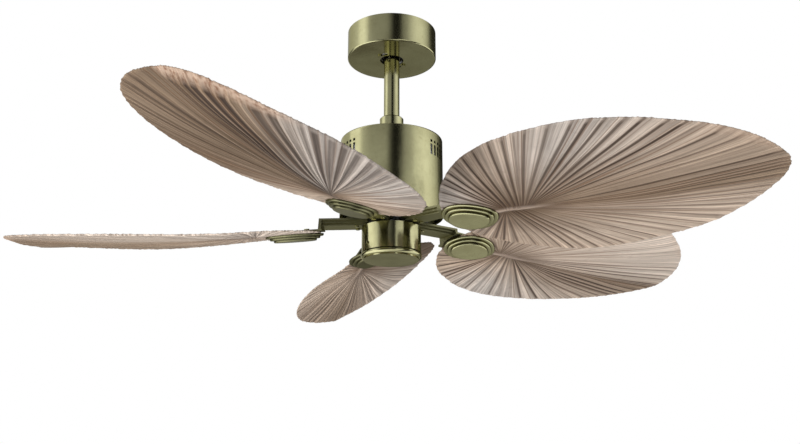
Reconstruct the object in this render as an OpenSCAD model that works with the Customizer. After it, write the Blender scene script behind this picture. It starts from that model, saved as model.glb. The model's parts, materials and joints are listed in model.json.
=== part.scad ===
// Palm-leaf ceiling fan: one motor head on a short downrod, five leaf blades.
// The origin is on the ceiling, on the fan's axis. +Z is up and -Y is the front.

/* [Hanger bracket] */
// Length of the bracket plate against the ceiling
bracket_length = 124; // [118:1:128]
// Width of the bracket plate
bracket_width = 48; // [46:1:52]
// Thickness of the bracket plate and its straps
bracket_plate = 2.5; // [2:0.1:3.5]
// Distance between the two ceiling screw slots
slot_spacing = 90; // [84:1:96]
// Width of a ceiling screw slot
slot_width = 5.6; // [4:0.1:6.5]
// End to end length of a ceiling screw slot
slot_length = 14; // [8:0.5:16]
// Width of the two straps that carry the ball seat
strap_width = 24; // [18:1:28]
// Radius of the seat ring
seat_ring_r = 32; // [31.6:0.1:34]

/* [Hanger ball] */
// Depth of the ball's centre below the ceiling
ball_drop = 28.6; // [28.6:0.1:29.4]
// Radius of the hanger ball
ball_r = 21; // [20.6:0.1:21.5]
// Wall of the seat liner under the ball
liner_wall = 2.2; // [1.6:0.1:2.4]
// Diameter of the pin across the ball
ball_pin_d = 5; // [4:0.5:6]

/* [Canopy] */
// Outer diameter of the canopy
canopy_d = 155; // [148:1:162]
// Height of the canopy
canopy_h = 51; // [51:0.1:53.6]
// Gap between the ceiling and the canopy's rim
canopy_gap = 1; // [0.5:0.1:2]
// Sheet thickness of the canopy
canopy_wall = 1.2; // [0.8:0.1:1.6]
// Radius of the canopy's lower edge
canopy_edge_r = 2.5; // [1.7:0.1:4]
// Diameter of the hole that the downrod passes through
canopy_hole_d = 41; // [40.6:0.1:43]
// Distance of the canopy screws from the axis
canopy_screw_r = 27.5; // [27:0.1:27.8]

/* [Downrod and collar] */
// Outer diameter of the downrod
rod_d = 27; // [25:0.1:27]
// Wall of the downrod
rod_wall = 2; // [1.5:0.1:2.5]
// Distance from the ceiling to the top of the motor housing
housing_drop = 205.7; // [190:1:320]
// Outer diameter of the collar over the coupling
collar_d = 40.8; // [40.7:0.1:44]
// Height of the collar over the coupling
collar_h = 43; // [40:0.5:60]
// Wall of the collar
collar_wall = 1; // [0.8:0.1:1.3]
// Depth of the rod in the coupling
rod_grip = 22; // [19:0.5:26]
// Diameter of the clevis pin through rod and coupling
clevis_pin_d = 6; // [5:0.5:7]

/* [Motor housing] */
// Outer diameter of the motor housing
housing_d = 174; // [168:1:184]
// Height of the motor housing
housing_h = 136; // [132:1:140]
// Sheet thickness of the motor housing
housing_wall = 1.4; // [1:0.1:2]
// Radius of the housing's upper edge
housing_edge_r = 3; // [2:0.5:6]
// Width of the lip turned in around the housing's open bottom
housing_lip = 4; // [2:0.5:5]
// Number of vent groups around the housing
vent_groups = 3; // [2:1:4]
// Number of vents in each group
vent_count = 5; // [3:1:6]
// Angle between two vents of a group
vent_step = 6.4; // [6:0.1:8]
// Turn of the vent groups from the front
vent_turn = 2; // [-20:1:20]
// Width of a vent
vent_width = 5; // [3:0.1:5.6]
// Height of a vent's slot
vent_slot_h = 18.4; // [12:0.1:24]
// Height of the small square above each slot
vent_dot_h = 4.5; // [3:0.1:5]
// Height of the metal left between square and slot
vent_bridge = 3.1; // [2:0.1:4]
// Distance from the housing's top to the square
vent_drop = 17; // [12:0.5:20]

/* [Motor] */
// Diameter of the hollow motor shaft
shaft_d = 18; // [16:0.5:19]
// Bore of the hollow motor shaft
shaft_bore_d = 11; // [8:0.5:12]
// Outer diameter of the rotor bells
rotor_d = 152; // [146:1:154]
// Height of the two rotor bells together
rotor_h = 92; // [88:1:94]
// Distance from the flywheel's lower face to the rotor bells
rotor_neck = 33.7; // [32:0.1:34.5]
// Wall of the rotor bells
rotor_wall = 6; // [5.5:0.1:7]
// Thickness of the bells' flat ends
bell_end = 4; // [3:0.5:5]
// Outer diameter of the bearings
bearing_d = 32; // [28:0.5:34]
// Height of the bearings
bearing_h = 9; // [7:0.5:10]
// Radial thickness of the magnet ring
magnet_wall = 13; // [10:0.5:14]
// Height of the magnet ring and of the stator core
core_h = 34; // [26:0.5:38]
// Air gap between the stator core and the magnet ring
air_gap = 0.8; // [0.5:0.1:1.2]
// Number of winding slots in the stator core
stator_slots = 12; // [9:1:12]
// Height of the winding's crown above and below the core
crown_h = 12; // [8:0.5:13]

/* [Rotor plate and arms] */
// Height of the arms' upper face above the blades' own level
arm_top = 16.3; // [15:0.1:18]
// Distance from the housing's bottom to the blades' own level
blade_drop = 22.3; // [21:0.1:26]
// Diameter of the flywheel's lower flange
flywheel_d = 124; // [122:1:130]
// Thickness of the flywheel's lower flange
flywheel_flange = 8.7; // [7:0.1:10]
// Width of an arm's upper tier
arm_width = 48; // [44:0.5:49]
// Height of each of the arm's three tiers
arm_tier = 3.3; // [2.6:0.1:3.4]
// Amount by which each lower tier is narrower
arm_step = 10; // [8:0.5:12]
// Distance from the axis to the arm's outer end
arm_end_r = 119; // [112:1:126]
// Distance from the axis to the arm screws
arm_screw_r = 57; // [55:0.5:58]
// Thickness of the arm's pad on the leaf
pad_thickness = 3; // [2.5:0.1:3.5]

/* [Medallion under each leaf] */
// Length of the medallion
medallion_length = 98; // [90:1:102]
// Width of the medallion
medallion_width = 80; // [72:1:86]
// Height of each of the medallion's three tiers
medallion_tier = 4.6; // [3.6:0.1:5.2]
// Width of each step of the medallion
medallion_step = 6.5; // [5:0.5:8]

/* [Palm leaves] */
// Distance from the axis to the leaf's inner end
leaf_root_r = 118; // [116:1:122]
// Thickness of the leaf
leaf_thickness = 3; // [2.5:0.1:4]
// Extra thickness of the folded hem
hem_extra = 3; // [1:0.1:4]
// Depth of the leaves' seats below the blades' own level
seat_depth = 1; // [0.5:0.1:2]
// Tilt of the leaf at its root, in degrees
leaf_pitch = 13.5; // [12:0.5:14]
// Droop of the leaf at its root, in degrees
leaf_droop = 3.5; // [1:0.5:4]
// Number of folds in a leaf
leaf_folds = 36; // [24:2:40]
// Half height of the folds at the leaf's edge
fold_height = 1.6; // [0.8:0.1:2.2]

/* [Leaf 1, front right] */
// Distance from the axis to this leaf's tip
leaf_1_tip_r = 656; // [631:1:681]
// Half width on the low side
leaf_1_low_half = 151; // [143:1:159]
// Half width on the high side
leaf_1_high_half = 188; // [180:1:196]
// Sideways reach of the tip towards the high edge
leaf_1_reach = 17; // [11:1:23]
// Drop past the seat, before the tip lifts again
leaf_1_fall = 26; // [20:1:32]
// Lift towards the tip
leaf_1_lift = 33; // [27:1:39]
// Drop of the low edge below the middle
leaf_1_low_drop = 6; // [1:1:11]
// Rise of the high edge above the middle
leaf_1_high_rise = 12; // [7:1:17]
// Change of the tilt from root to tip, in degrees
leaf_1_twist = -6.9; // [-8.9:0.5:-4.9]
// Slenderness of the low side's inner end
leaf_1_low_root = 0.44; // [0.4:0.01:0.48]
// Slenderness of the low side's tip
leaf_1_low_tip = 0.56; // [0.52:0.01:0.6]
// Slenderness of the high side's inner end
leaf_1_high_root = 0.6; // [0.56:0.01:0.64]
// Slenderness of the high side's tip
leaf_1_high_tip = 0.51; // [0.47:0.01:0.55]

/* [Leaf 2, front left] */
// Distance from the axis to this leaf's tip
leaf_2_tip_r = 647; // [622:1:672]
// Half width on the low side
leaf_2_low_half = 161; // [153:1:169]
// Half width on the high side
leaf_2_high_half = 157; // [149:1:165]
// Sideways reach of the tip towards the high edge
leaf_2_reach = 11; // [5:1:17]
// Drop past the seat, before the tip lifts again
leaf_2_fall = 7; // [1:1:13]
// Lift towards the tip
leaf_2_lift = 48; // [42:1:54]
// Drop of the low edge below the middle
leaf_2_low_drop = -11; // [-16:1:-6]
// Rise of the high edge above the middle
leaf_2_high_rise = 16; // [11:1:21]
// Change of the tilt from root to tip, in degrees
leaf_2_twist = 0; // [-2:0.5:2]
// Slenderness of the low side's inner end
leaf_2_low_root = 0.38; // [0.34:0.01:0.42]
// Slenderness of the low side's tip
leaf_2_low_tip = 0.59; // [0.55:0.01:0.63]
// Slenderness of the high side's inner end
leaf_2_high_root = 0.77; // [0.73:0.01:0.81]
// Slenderness of the high side's tip
leaf_2_high_tip = 0.53; // [0.49:0.01:0.57]

/* [Leaf 3, left] */
// Distance from the axis to this leaf's tip
leaf_3_tip_r = 660; // [635:1:685]
// Half width on the low side
leaf_3_low_half = 166; // [158:1:174]
// Half width on the high side
leaf_3_high_half = 172; // [164:1:180]
// Sideways reach of the tip towards the high edge
leaf_3_reach = 19; // [13:1:25]
// Drop past the seat, before the tip lifts again
leaf_3_fall = 0; // [-6:1:6]
// Lift towards the tip
leaf_3_lift = 30; // [24:1:36]
// Drop of the low edge below the middle
leaf_3_low_drop = -2; // [-7:1:3]
// Rise of the high edge above the middle
leaf_3_high_rise = 1; // [-4:1:6]
// Change of the tilt from root to tip, in degrees
leaf_3_twist = -3.8; // [-5.8:0.5:-1.8]
// Slenderness of the low side's inner end
leaf_3_low_root = 0.46; // [0.42:0.01:0.5]
// Slenderness of the low side's tip
leaf_3_low_tip = 0.49; // [0.45:0.01:0.53]
// Slenderness of the high side's inner end
leaf_3_high_root = 0.59; // [0.55:0.01:0.63]
// Slenderness of the high side's tip
leaf_3_high_tip = 0.64; // [0.6:0.01:0.68]

/* [Leaf 4, back] */
// Distance from the axis to this leaf's tip
leaf_4_tip_r = 658; // [633:1:683]
// Half width on the low side
leaf_4_low_half = 97; // [89:1:105]
// Half width on the high side
leaf_4_high_half = 152; // [144:1:160]
// Sideways reach of the tip towards the high edge
leaf_4_reach = 31; // [25:1:37]
// Drop past the seat, before the tip lifts again
leaf_4_fall = 6; // [0:1:12]
// Lift towards the tip
leaf_4_lift = 1; // [-5:1:7]
// Drop of the low edge below the middle
leaf_4_low_drop = 5; // [0:1:10]
// Rise of the high edge above the middle
leaf_4_high_rise = 27; // [22:1:32]
// Change of the tilt from root to tip, in degrees
leaf_4_twist = -0.9; // [-2.9:0.5:1.1]
// Slenderness of the low side's inner end
leaf_4_low_root = 0.96; // [0.92:0.01:1]
// Slenderness of the low side's tip
leaf_4_low_tip = 0.47; // [0.43:0.01:0.51]
// Slenderness of the high side's inner end
leaf_4_high_root = 0.35; // [0.31:0.01:0.39]
// Slenderness of the high side's tip
leaf_4_high_tip = 0.95; // [0.91:0.01:0.99]

/* [Leaf 5, back right] */
// Distance from the axis to this leaf's tip
leaf_5_tip_r = 648; // [623:1:673]
// Half width on the low side
leaf_5_low_half = 157; // [149:1:165]
// Half width on the high side
leaf_5_high_half = 198; // [190:1:206]
// Sideways reach of the tip towards the high edge
leaf_5_reach = -18; // [-24:1:-12]
// Drop past the seat, before the tip lifts again
leaf_5_fall = -1; // [-7:1:5]
// Lift towards the tip
leaf_5_lift = 27; // [21:1:33]
// Drop of the low edge below the middle
leaf_5_low_drop = -5; // [-10:1:0]
// Rise of the high edge above the middle
leaf_5_high_rise = 16; // [11:1:21]
// Change of the tilt from root to tip, in degrees
leaf_5_twist = -5.1; // [-7.1:0.5:-3.1]
// Slenderness of the low side's inner end
leaf_5_low_root = 0.46; // [0.42:0.01:0.5]
// Slenderness of the low side's tip
leaf_5_low_tip = 0.67; // [0.63:0.01:0.71]
// Slenderness of the high side's inner end
leaf_5_high_root = 0.67; // [0.63:0.01:0.71]
// Slenderness of the high side's tip
leaf_5_high_tip = 0.62; // [0.58:0.01:0.66]

/* [Cup under the rotor] */
// Outer diameter of the cup
cup_d = 98.8; // [94:0.2:101]
// Gap between the arms and the cup
cup_gap = 2.9; // [2.6:0.1:3.5]
// Wall of the cup
cup_wall = 1.5; // [1.2:0.1:2]
// Height of the upper cup
upper_cup_h = 23.5; // [20:0.5:28]
// Height of the cover's straight wall
cover_h = 20; // [17:0.5:24]
// Height of the rounded lip around the cover
lip_h = 9; // [7:0.5:10]
// Amount by which the lip stands proud of the cup
lip_proud = 1.4; // [0.8:0.1:2]
// Diameter of the flat cap
cap_d = 91.6; // [88:0.2:93]
// Thickness of the flat cap
cap_thickness = 2.3; // [2:0.1:3]
// Diameter of the circuit board in the cup
board_d = 72; // [66:1:76]

/* [Hidden] */
$fn = 96;
BLADES = [1 : 5];
blade_step = 72;
first_blade_angle = -40;

// Clearances
run_fit = 0.04;
pin_fit = 0.05;
screw_fit = 0.1;
swing_gap = 0.3;
seat_gap = 0.1;
hole_turn = 37;
overlap = 1;

// Small fastener sizes
canopy_screw_d = 4;
canopy_head_r = 3.8;
canopy_head_h = 2.2;
set_screw_d = 5;
housing_screw_d = 4;
housing_screw_at = 30;
housing_head_r = 3.4;
housing_head_h = 1.8;
bell_screw_d = 3;
bell_head_r = 2.7;
bell_head_h = 2;
bell_screw_count = 5;
bell_screw_bite = 12;
flywheel_screw_d = 5;
flywheel_screw_at = 31;
flywheel_head_r = 4.4;
flywheel_head_h = 4;
arm_screw_d = 4;
arm_screw_offset = 8;
arm_head_r = 3.6;
arm_head_h = 2;
arm_screw_bite = 6;
leaf_screw_d = 4;
leaf_head_r = 4.4;
leaf_head_h = 2.2;
leaf_screw_bite = 5;
cover_screw_d = 3;
cover_head_r = 2.8;
cover_head_h = 1.8;

// Heights down the axis
ball_z = -ball_drop;
canopy_top = -canopy_gap;
canopy_bottom = canopy_top - canopy_h;
housing_top = -housing_drop;
housing_bottom = housing_top - housing_h;
blade_z = housing_bottom - blade_drop;
arm_bottom = arm_top - 3 * arm_tier;
cup_top = blade_z + arm_bottom - cup_gap;

// Ball, liner and seat ring
ball_top = 13;
ball_bottom = 15.5;
liner_in_r = ball_r + swing_gap;
liner_out_r = liner_in_r + liner_wall;
seat_r = liner_out_r + swing_gap;
liner_high = -6;
liner_low = -36;
seat_high = -5;
seat_ring_depth = 19;
seat_hole_r = 19.3;
rod_slot = rod_d + 0.8;
strap_at = seat_r + 2.4;
ball_pin_rise = 7;
ball_pin_half = 18;
ball_screw_rise = 1;
canopy_screw_angles = [42, 222];
canopy_boss_r = 4.3;
key_turn = 24;
key_r = 4.6;

// Rod, coupling and collar
rod_r = rod_d / 2;
rod_top = ball_z + 16;
coupling_r = rod_r + 3;
coupling_h = collar_h - 5;
coupling_top = housing_top + coupling_h;
rod_bottom = coupling_top - rod_grip;
clevis_z = coupling_top - rod_grip / 2;
clevis_half = coupling_r + 2.2;
clip_at = coupling_r + 0.8;
clevis_head_r = 4;
clevis_head_h = 1.6;
clip_wire_r = 0.6;
clip_half = clevis_pin_d / 2 + 1;
clip_eye_r = 1.3;
collar_top_h = 2;

// Motor
shaft_r = shaft_d / 2;
shaft_top = rod_bottom - swing_gap;
coupling_screw_z = (shaft_top + housing_top) / 2;
clamp_r = 40;
clamp_h = 3;
clamp_hub_r = 14;
clamp_hub_h = 5;
clamp_top = housing_top - housing_wall;
rotor_r = rotor_d / 2;
rotor_in_r = rotor_r - rotor_wall;
rotor_bottom = blade_z + arm_top + rotor_neck;
rotor_top = rotor_bottom + rotor_h;
rotor_split = rotor_bottom + rotor_h / 2;
bearing_r = bearing_d / 2;
bearing_seat_r = bearing_r + pin_fit;
boss_r = bearing_r + 6;
bell_hole_r = shaft_r + 3;
core_mid = (rotor_top + rotor_bottom) / 2;
core_r = rotor_in_r - magnet_wall - air_gap;
slot_in_r = 26;
slot_out_r = core_r - 6;
slot_w = 8;
winding_fit = 0.3;
bell_screw_at = rotor_r - rotor_wall / 2;
bell_vents = 8;
bell_vent_w = 6;

// Flywheel
flywheel_r = flywheel_d / 2;
flywheel_low = blade_z + arm_top;
flywheel_waist_r = flywheel_r - 14;
flywheel_top_r = flywheel_r - 2;
flywheel_top_h = 5;
flywheel_hole_r = 20;
spacer_r = 13;
spacer_top = rotor_bottom - 1.5;

// Arm, pad and leaf seat, measured from the axis at the blades' own level
arm_root_r = 38;
pad_end_r = leaf_root_r + 84;
pad_half = 27;
pad_low = leaf_thickness / 2 + seat_gap;
drop_wall = 5;
drop_slant = 3;
leaf_screw_spots = [[140, -14], [140, 14], [186, 0]];
seat_half = 56;
seat_blend = 45;
leaf_centre_r = 238;
edge_reach = 130;
leaf_rings = [0.3, 0.6, 0.84, 0.95, 1];
hem_share = 0.9;
hem_blend = 15;
leaf_rim = 2 * leaf_folds;
medallion_root_r = leaf_root_r - 4;
medallion_top = -leaf_thickness / 2 - seat_gap;
medallion_points = 48;
medallion_root_fullness = 0.5;
medallion_tip_fullness = 0.62;

// Cup
cup_r = cup_d / 2;
cup_in_r = cup_r - cup_wall;
upper_cup_bottom = cup_top - upper_cup_h;
plate_r = 40;
plate_h = 3;
plate_top = cup_top - cup_wall;
nut_h = 8;
nut_across = 24;
nut_z = plate_top - plate_h - nut_h;
shaft_bottom = nut_z - 3;
standoff_r = 3;
standoff_at = 28;
standoff_h = nut_h + 7;
board_top = plate_top - plate_h - standoff_h;
board_thickness = 1.6;
skirt_r = cup_in_r - 0.3;
skirt_wall = 1.3;
skirt_h = 15;
cover_bottom = upper_cup_bottom - cover_h - lip_h;
lip_r = cup_r + lip_proud;
cap_r = cap_d / 2;
cap_boss_r = 40;
cap_z = cover_bottom - cap_thickness;
cover_floor = 2;
lip_in_r = lip_r - lip_h / 2 - 2.3;
cover_screw_z = upper_cup_bottom - 9;
cover_screw_angles = [-22, 98, 218];
capacitor_size = [38, 18, 16];
receiver_size = [66, 22, 20];
receiver_y = ball_r + swing_gap;

// --- Shared shapes ---

// A straight tube from z = low to z = high
module tube(out_r, in_r, low, high) {
    translate([0, 0, low])
        difference() {
            cylinder(r = out_r, h = high - low);
            translate([0, 0, -overlap]) cylinder(r = in_r, h = high - low + 2 * overlap);
        }
}

// A round hole or pin from z = low to z = high
module rod_between(r, low, high) {
    translate([0, 0, low]) cylinder(r = r, h = high - low);
}

// A pin along X or Y through the axis at height z
module cross_pin(r, half, z, turn = 0) {
    translate([0, 0, z]) rotate([0, 0, turn]) rotate([0, 90, 0]) cylinder(r = r, h = 2 * half, center = true);
}

// Copies the children at the given angles around the axis
module around(angles) {
    for (a = angles) rotate([0, 0, a]) children();
}

// Copies the children at equal steps around the axis
module ring_of(count) {
    for (i = [0 : count - 1]) rotate([0, 0, i * 360 / count]) children();
}

// A sheet-metal drum open at one end, as a turned profile, top at z = 0 and going down
module drum_profile(r, h, wall, edge_r) {
    difference() {
        union() {
            translate([0, -h]) square([r, h - edge_r]);
            translate([0, -edge_r]) square([r - edge_r, edge_r]);
            translate([r - edge_r, -edge_r]) circle(r = edge_r);
        }
        translate([-overlap, -h - overlap]) square([r - wall + overlap, h + overlap - edge_r]);
        translate([-overlap, -edge_r - overlap]) square([r - edge_r + overlap, edge_r - wall + overlap]);
        translate([r - edge_r, -edge_r]) circle(r = edge_r - wall);
        translate([-r - overlap, -h - overlap]) square([r + overlap, h + 2 * overlap]);
    }
}

// A flat-based ring cut from a sphere, between two latitudes
module sphere_zone(in_r, out_r, low, high) {
    steps = 12;
    rotate_extrude()
        polygon(concat(
            [for (i = [0 : steps]) let(a = low + (high - low) * i / steps) out_r * [cos(a), sin(a)]],
            [for (i = [steps : -1 : 0]) let(a = low + (high - low) * i / steps) in_r * [cos(a), sin(a)]]
        ));
}

// Half width of a swelling outline of half width w, at the share t of its length
function swell(t, w, root, tip) =
    let(widest = root / (root + tip))
    w * pow(t / widest, root) * pow((1 - t) / (1 - widest), tip);

// --- Ceiling mount ---

module hanger_bracket() {
    ring_top = ball_z + seat_r * sin(seat_high);
    ring_bottom = ball_z - seat_ring_depth;
    color("gainsboro")
        difference() {
            union() {
                translate([-bracket_length / 2, -bracket_width / 2, -bracket_plate])
                    cube([bracket_length, bracket_width, bracket_plate]);
                for (side = [-1, 1])
                    translate([side * (strap_at + bracket_plate / 2) - bracket_plate / 2, -strap_width / 2,
                               ring_bottom + 2])
                        cube([bracket_plate, strap_width, -ring_bottom - 2 - bracket_plate / 2]);
                rod_between(seat_ring_r, ring_bottom, ring_top);
                around(canopy_screw_angles)
                    translate([canopy_screw_r, 0, 0])
                        rod_between(canopy_boss_r, canopy_bottom + canopy_wall, ring_bottom + overlap);
            }
            translate([0, 0, ball_z]) sphere(r = seat_r);
            rod_between(seat_hole_r, ring_bottom - overlap, ring_top);
            translate([-rod_slot / 2, 0, canopy_bottom])
                cube([rod_slot, seat_ring_r + overlap, ring_top - canopy_bottom + overlap]);
            for (side = [-1, 1])
                translate([side * slot_spacing / 2, 0, -bracket_plate - overlap]) {
                    straight = slot_length - slot_width;
                    translate([-straight / 2, -slot_width / 2, 0])
                        cube([straight, slot_width, bracket_plate + 2 * overlap]);
                    for (end = [-1, 1])
                        translate([end * straight / 2, 0, 0])
                            cylinder(d = slot_width, h = bracket_plate + 2 * overlap);
                }
            around(canopy_screw_angles)
                translate([canopy_screw_r, 0, 0])
                    rod_between(canopy_screw_d / 2 + screw_fit, canopy_bottom, ring_bottom + 10);
        }
}

module canopy() {
    color("darkkhaki")
        translate([0, 0, canopy_bottom])
            difference() {
                mirror([0, 0, 1])
                    rotate_extrude()
                        drum_profile(canopy_d / 2, canopy_h, canopy_wall, canopy_edge_r);
                rod_between(canopy_hole_d / 2, -overlap, canopy_wall + overlap);
                around(canopy_screw_angles) {
                    translate([canopy_screw_r, 0, 0])
                        rod_between(canopy_screw_d / 2 + screw_fit, -overlap, canopy_wall + overlap);
                    rotate([0, 0, key_turn])
                        translate([canopy_screw_r, 0, 0])
                            rod_between(key_r, -overlap, canopy_wall + overlap);
                    translate([0, 0, -overlap])
                        rotate_extrude(angle = key_turn)
                            translate([canopy_screw_r - canopy_screw_d / 2 - screw_fit, 0])
                                square([canopy_screw_d + 2 * screw_fit, canopy_wall + 2 * overlap]);
                }
            }
}

module canopy_screws() {
    color("silver")
        around(canopy_screw_angles)
            translate([canopy_screw_r, 0, canopy_bottom]) {
                rod_between(canopy_screw_d / 2, 0, canopy_wall + 9);
                rod_between(canopy_head_r, -canopy_head_h, 0);
            }
}

module remote_receiver() {
    color("ivory")
        translate([-receiver_size[0] / 2, receiver_y, -bracket_plate - receiver_size[2]])
            cube(receiver_size);
}

// --- Ball joint ---

module seat_liner() {
    color("dimgray")
        translate([0, 0, ball_z])
            difference() {
                sphere_zone(liner_in_r, liner_out_r, liner_low, liner_high);
                translate([-rod_slot / 2, 0, -liner_out_r])
                    cube([rod_slot, liner_out_r + overlap, 2 * liner_out_r]);
            }
}

module hanger_ball() {
    color("dimgray")
        difference() {
            intersection() {
                translate([0, 0, ball_z]) sphere(r = ball_r);
                rod_between(ball_r + overlap, ball_z - ball_bottom, ball_z + ball_top);
            }
            rod_between(rod_r + pin_fit, ball_z - ball_r, ball_z + ball_r);
            cross_pin(ball_pin_d / 2 + pin_fit, ball_r + overlap, ball_z + ball_pin_rise);
            translate([0, 0, ball_z + ball_screw_rise])
                rotate([-90, 0, 0])
                    cylinder(d = set_screw_d + 2 * screw_fit, h = ball_r + overlap);
        }
}

module ball_pin() {
    color("silver") cross_pin(ball_pin_d / 2, ball_pin_half, ball_z + ball_pin_rise);
}

module ball_set_screw() {
    color("silver")
        translate([0, rod_r + swing_gap, ball_z + ball_screw_rise])
            rotate([-90, 0, 0])
                cylinder(d = set_screw_d, h = ball_r - rod_r - 1.4);
}

// --- Downrod and coupling ---

module downrod() {
    color("darkkhaki")
        difference() {
            tube(rod_r, rod_r - rod_wall, rod_bottom, rod_top);
            cross_pin(ball_pin_d / 2 + pin_fit, rod_d, ball_z + ball_pin_rise);
            cross_pin(clevis_pin_d / 2 + pin_fit, rod_d, clevis_z);
        }
}

module rod_coupling() {
    color("gray")
        difference() {
            rod_between(coupling_r, housing_top, coupling_top);
            rod_between(rod_r + pin_fit, shaft_top, coupling_top + overlap);
            rod_between(shaft_r + pin_fit, housing_top - overlap, coupling_top);
            cross_pin(clevis_pin_d / 2 + pin_fit, rod_d, clevis_z);
            cross_pin(set_screw_d / 2 + screw_fit, rod_d, coupling_screw_z, 90);
        }
}

module clevis_pin() {
    color("silver")
        difference() {
            union() {
                cross_pin(clevis_pin_d / 2, clevis_half, clevis_z);
                translate([-clevis_half, 0, clevis_z])
                    rotate([0, 90, 0]) cylinder(r = clevis_head_r, h = clevis_head_h);
            }
            translate([clip_at, 0, clevis_z - rod_r])
                cylinder(r = clip_wire_r + pin_fit, h = rod_d);
        }
}

// A split pin with an eye, through the clevis pin's end
module pin_clip() {
    color("silver")
        translate([clip_at, 0, clevis_z]) {
            cylinder(r = clip_wire_r, h = 2 * clip_half, center = true);
            translate([0, 0, clip_half + clip_eye_r])
                rotate([0, 90, 0])
                    rotate_extrude() translate([clip_eye_r, 0]) circle(r = clip_wire_r);
        }
}

module coupling_screws() {
    color("silver")
        for (side = [-1, 1])
            translate([0, side * (shaft_r + swing_gap), coupling_screw_z])
                rotate([-90 * side, 0, 0])
                    cylinder(d = set_screw_d, h = coupling_r - shaft_r + 0.6);
}

module coupling_collar() {
    collar_r = collar_d / 2;
    color("darkkhaki")
        translate([0, 0, housing_top])
            rotate_extrude()
                polygon([
                    [collar_r - collar_wall, 0],
                    [collar_r, 0],
                    [collar_r, collar_h - collar_top_h],
                    [collar_r - collar_top_h, collar_h],
                    [rod_r + 0.4, collar_h],
                    [rod_r + 0.4, collar_h - collar_wall],
                    [collar_r - collar_top_h - 0.4, collar_h - collar_wall],
                    [collar_r - collar_wall, collar_h - collar_top_h - 0.4]
                ]);
}

// --- Housing ---

module vent_cut() {
    translate([housing_d / 2 - 3 * housing_wall, -vent_width / 2, -vent_drop - vent_dot_h])
        cube([6 * housing_wall, vent_width, vent_dot_h]);
    translate([housing_d / 2 - 3 * housing_wall, -vent_width / 2,
               -vent_drop - vent_dot_h - vent_bridge - vent_slot_h])
        cube([6 * housing_wall, vent_width, vent_slot_h]);
}

module motor_housing() {
    front = -90;
    color("darkkhaki")
        translate([0, 0, housing_top])
            difference() {
                union() {
                    rotate_extrude()
                        drum_profile(housing_d / 2, housing_h, housing_wall, housing_edge_r);
                    tube(housing_d / 2 - housing_wall / 2, housing_d / 2 - housing_wall - housing_lip,
                         -housing_h, -housing_h + housing_wall);
                }
                rod_between(shaft_r + screw_fit, -housing_wall - overlap, overlap);
                ring_of(4)
                    translate([housing_screw_at, 0, 0])
                        rod_between(housing_screw_d / 2 + screw_fit, -housing_wall - overlap, overlap);
                ring_of(vent_groups)
                    for (i = [0 : vent_count - 1])
                        rotate([0, 0, front + 180 / vent_groups + vent_turn
                                      + (i - (vent_count - 1) / 2) * vent_step])
                            vent_cut();
            }
}

// Plate under the housing's top that holds it to the shaft
module housing_clamp() {
    color("silver")
        difference() {
            union() {
                rod_between(clamp_r, clamp_top - clamp_h, clamp_top);
                rod_between(clamp_hub_r, clamp_top - clamp_h - clamp_hub_h, clamp_top);
            }
            rod_between(shaft_r + pin_fit, clamp_top - clamp_h - clamp_hub_h - overlap, clamp_top + overlap);
            ring_of(4)
                translate([housing_screw_at, 0, 0])
                    rod_between(housing_screw_d / 2 + screw_fit, clamp_top - clamp_h - overlap,
                                clamp_top + overlap);
        }
}

module housing_screws() {
    color("silver")
        ring_of(4)
            translate([housing_screw_at, 0, housing_top]) {
                rod_between(housing_screw_d / 2, -housing_wall - clamp_h, 0);
                rod_between(housing_head_r, 0, housing_head_h);
            }
}

// --- Motor, still parts ---

module motor_shaft() {
    color("silver") tube(shaft_r, shaft_bore_d / 2, shaft_bottom, shaft_top);
}

module stator_core() {
    color("slategray")
        difference() {
            tube(core_r, shaft_r + pin_fit, core_mid - core_h / 2, core_mid + core_h / 2);
            ring_of(stator_slots)
                translate([slot_in_r, -slot_w / 2, core_mid - core_h])
                    cube([slot_out_r - slot_in_r, slot_w, 2 * core_h]);
        }
}

module stator_winding() {
    color("peru") {
        half = core_h / 2;
        for (low = [core_mid + half, core_mid - half - crown_h])
            tube(slot_out_r - winding_fit, slot_in_r + winding_fit, low, low + crown_h);
        ring_of(stator_slots)
            translate([slot_in_r + winding_fit, -slot_w / 2 + winding_fit, core_mid - half - overlap])
                cube([slot_out_r - slot_in_r - 2 * winding_fit, slot_w - 2 * winding_fit,
                      core_h + 2 * overlap]);
    }
}

module shaft_spacer() {
    color("silver") tube(spacer_r, shaft_r + pin_fit, cup_top, spacer_top);
}

// --- Motor, turning parts ---

// Flat end of a bell with its bearing boss and air slots, outer face at z = 0, inside above
module bell_end_disc(wall_h) {
    difference() {
        union() {
            rod_between(rotor_r, 0, bell_end);
            tube(rotor_r, rotor_in_r, 0, wall_h);
            rod_between(boss_r, 0, bell_end + bearing_h);
        }
        rod_between(bell_hole_r, -overlap, bell_end + overlap);
        rod_between(bearing_seat_r, bell_end, bell_end + bearing_h + overlap);
        ring_of(bell_vents)
            rotate([0, 0, 180 / bell_vents])
                translate([flywheel_r - 2, -bell_vent_w / 2, -overlap])
                    cube([rotor_in_r - flywheel_r - 1, bell_vent_w, bell_end + 2 * overlap]);
    }
}

module upper_bell() {
    color("silver")
        difference() {
            translate([0, 0, rotor_top]) mirror([0, 0, 1]) bell_end_disc(rotor_h / 2);
            ring_of(bell_screw_count)
                translate([bell_screw_at, 0, 0])
                    rod_between(bell_screw_d / 2 + screw_fit, rotor_split - overlap,
                                rotor_split + bell_screw_bite + screw_fit);
        }
}

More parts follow.
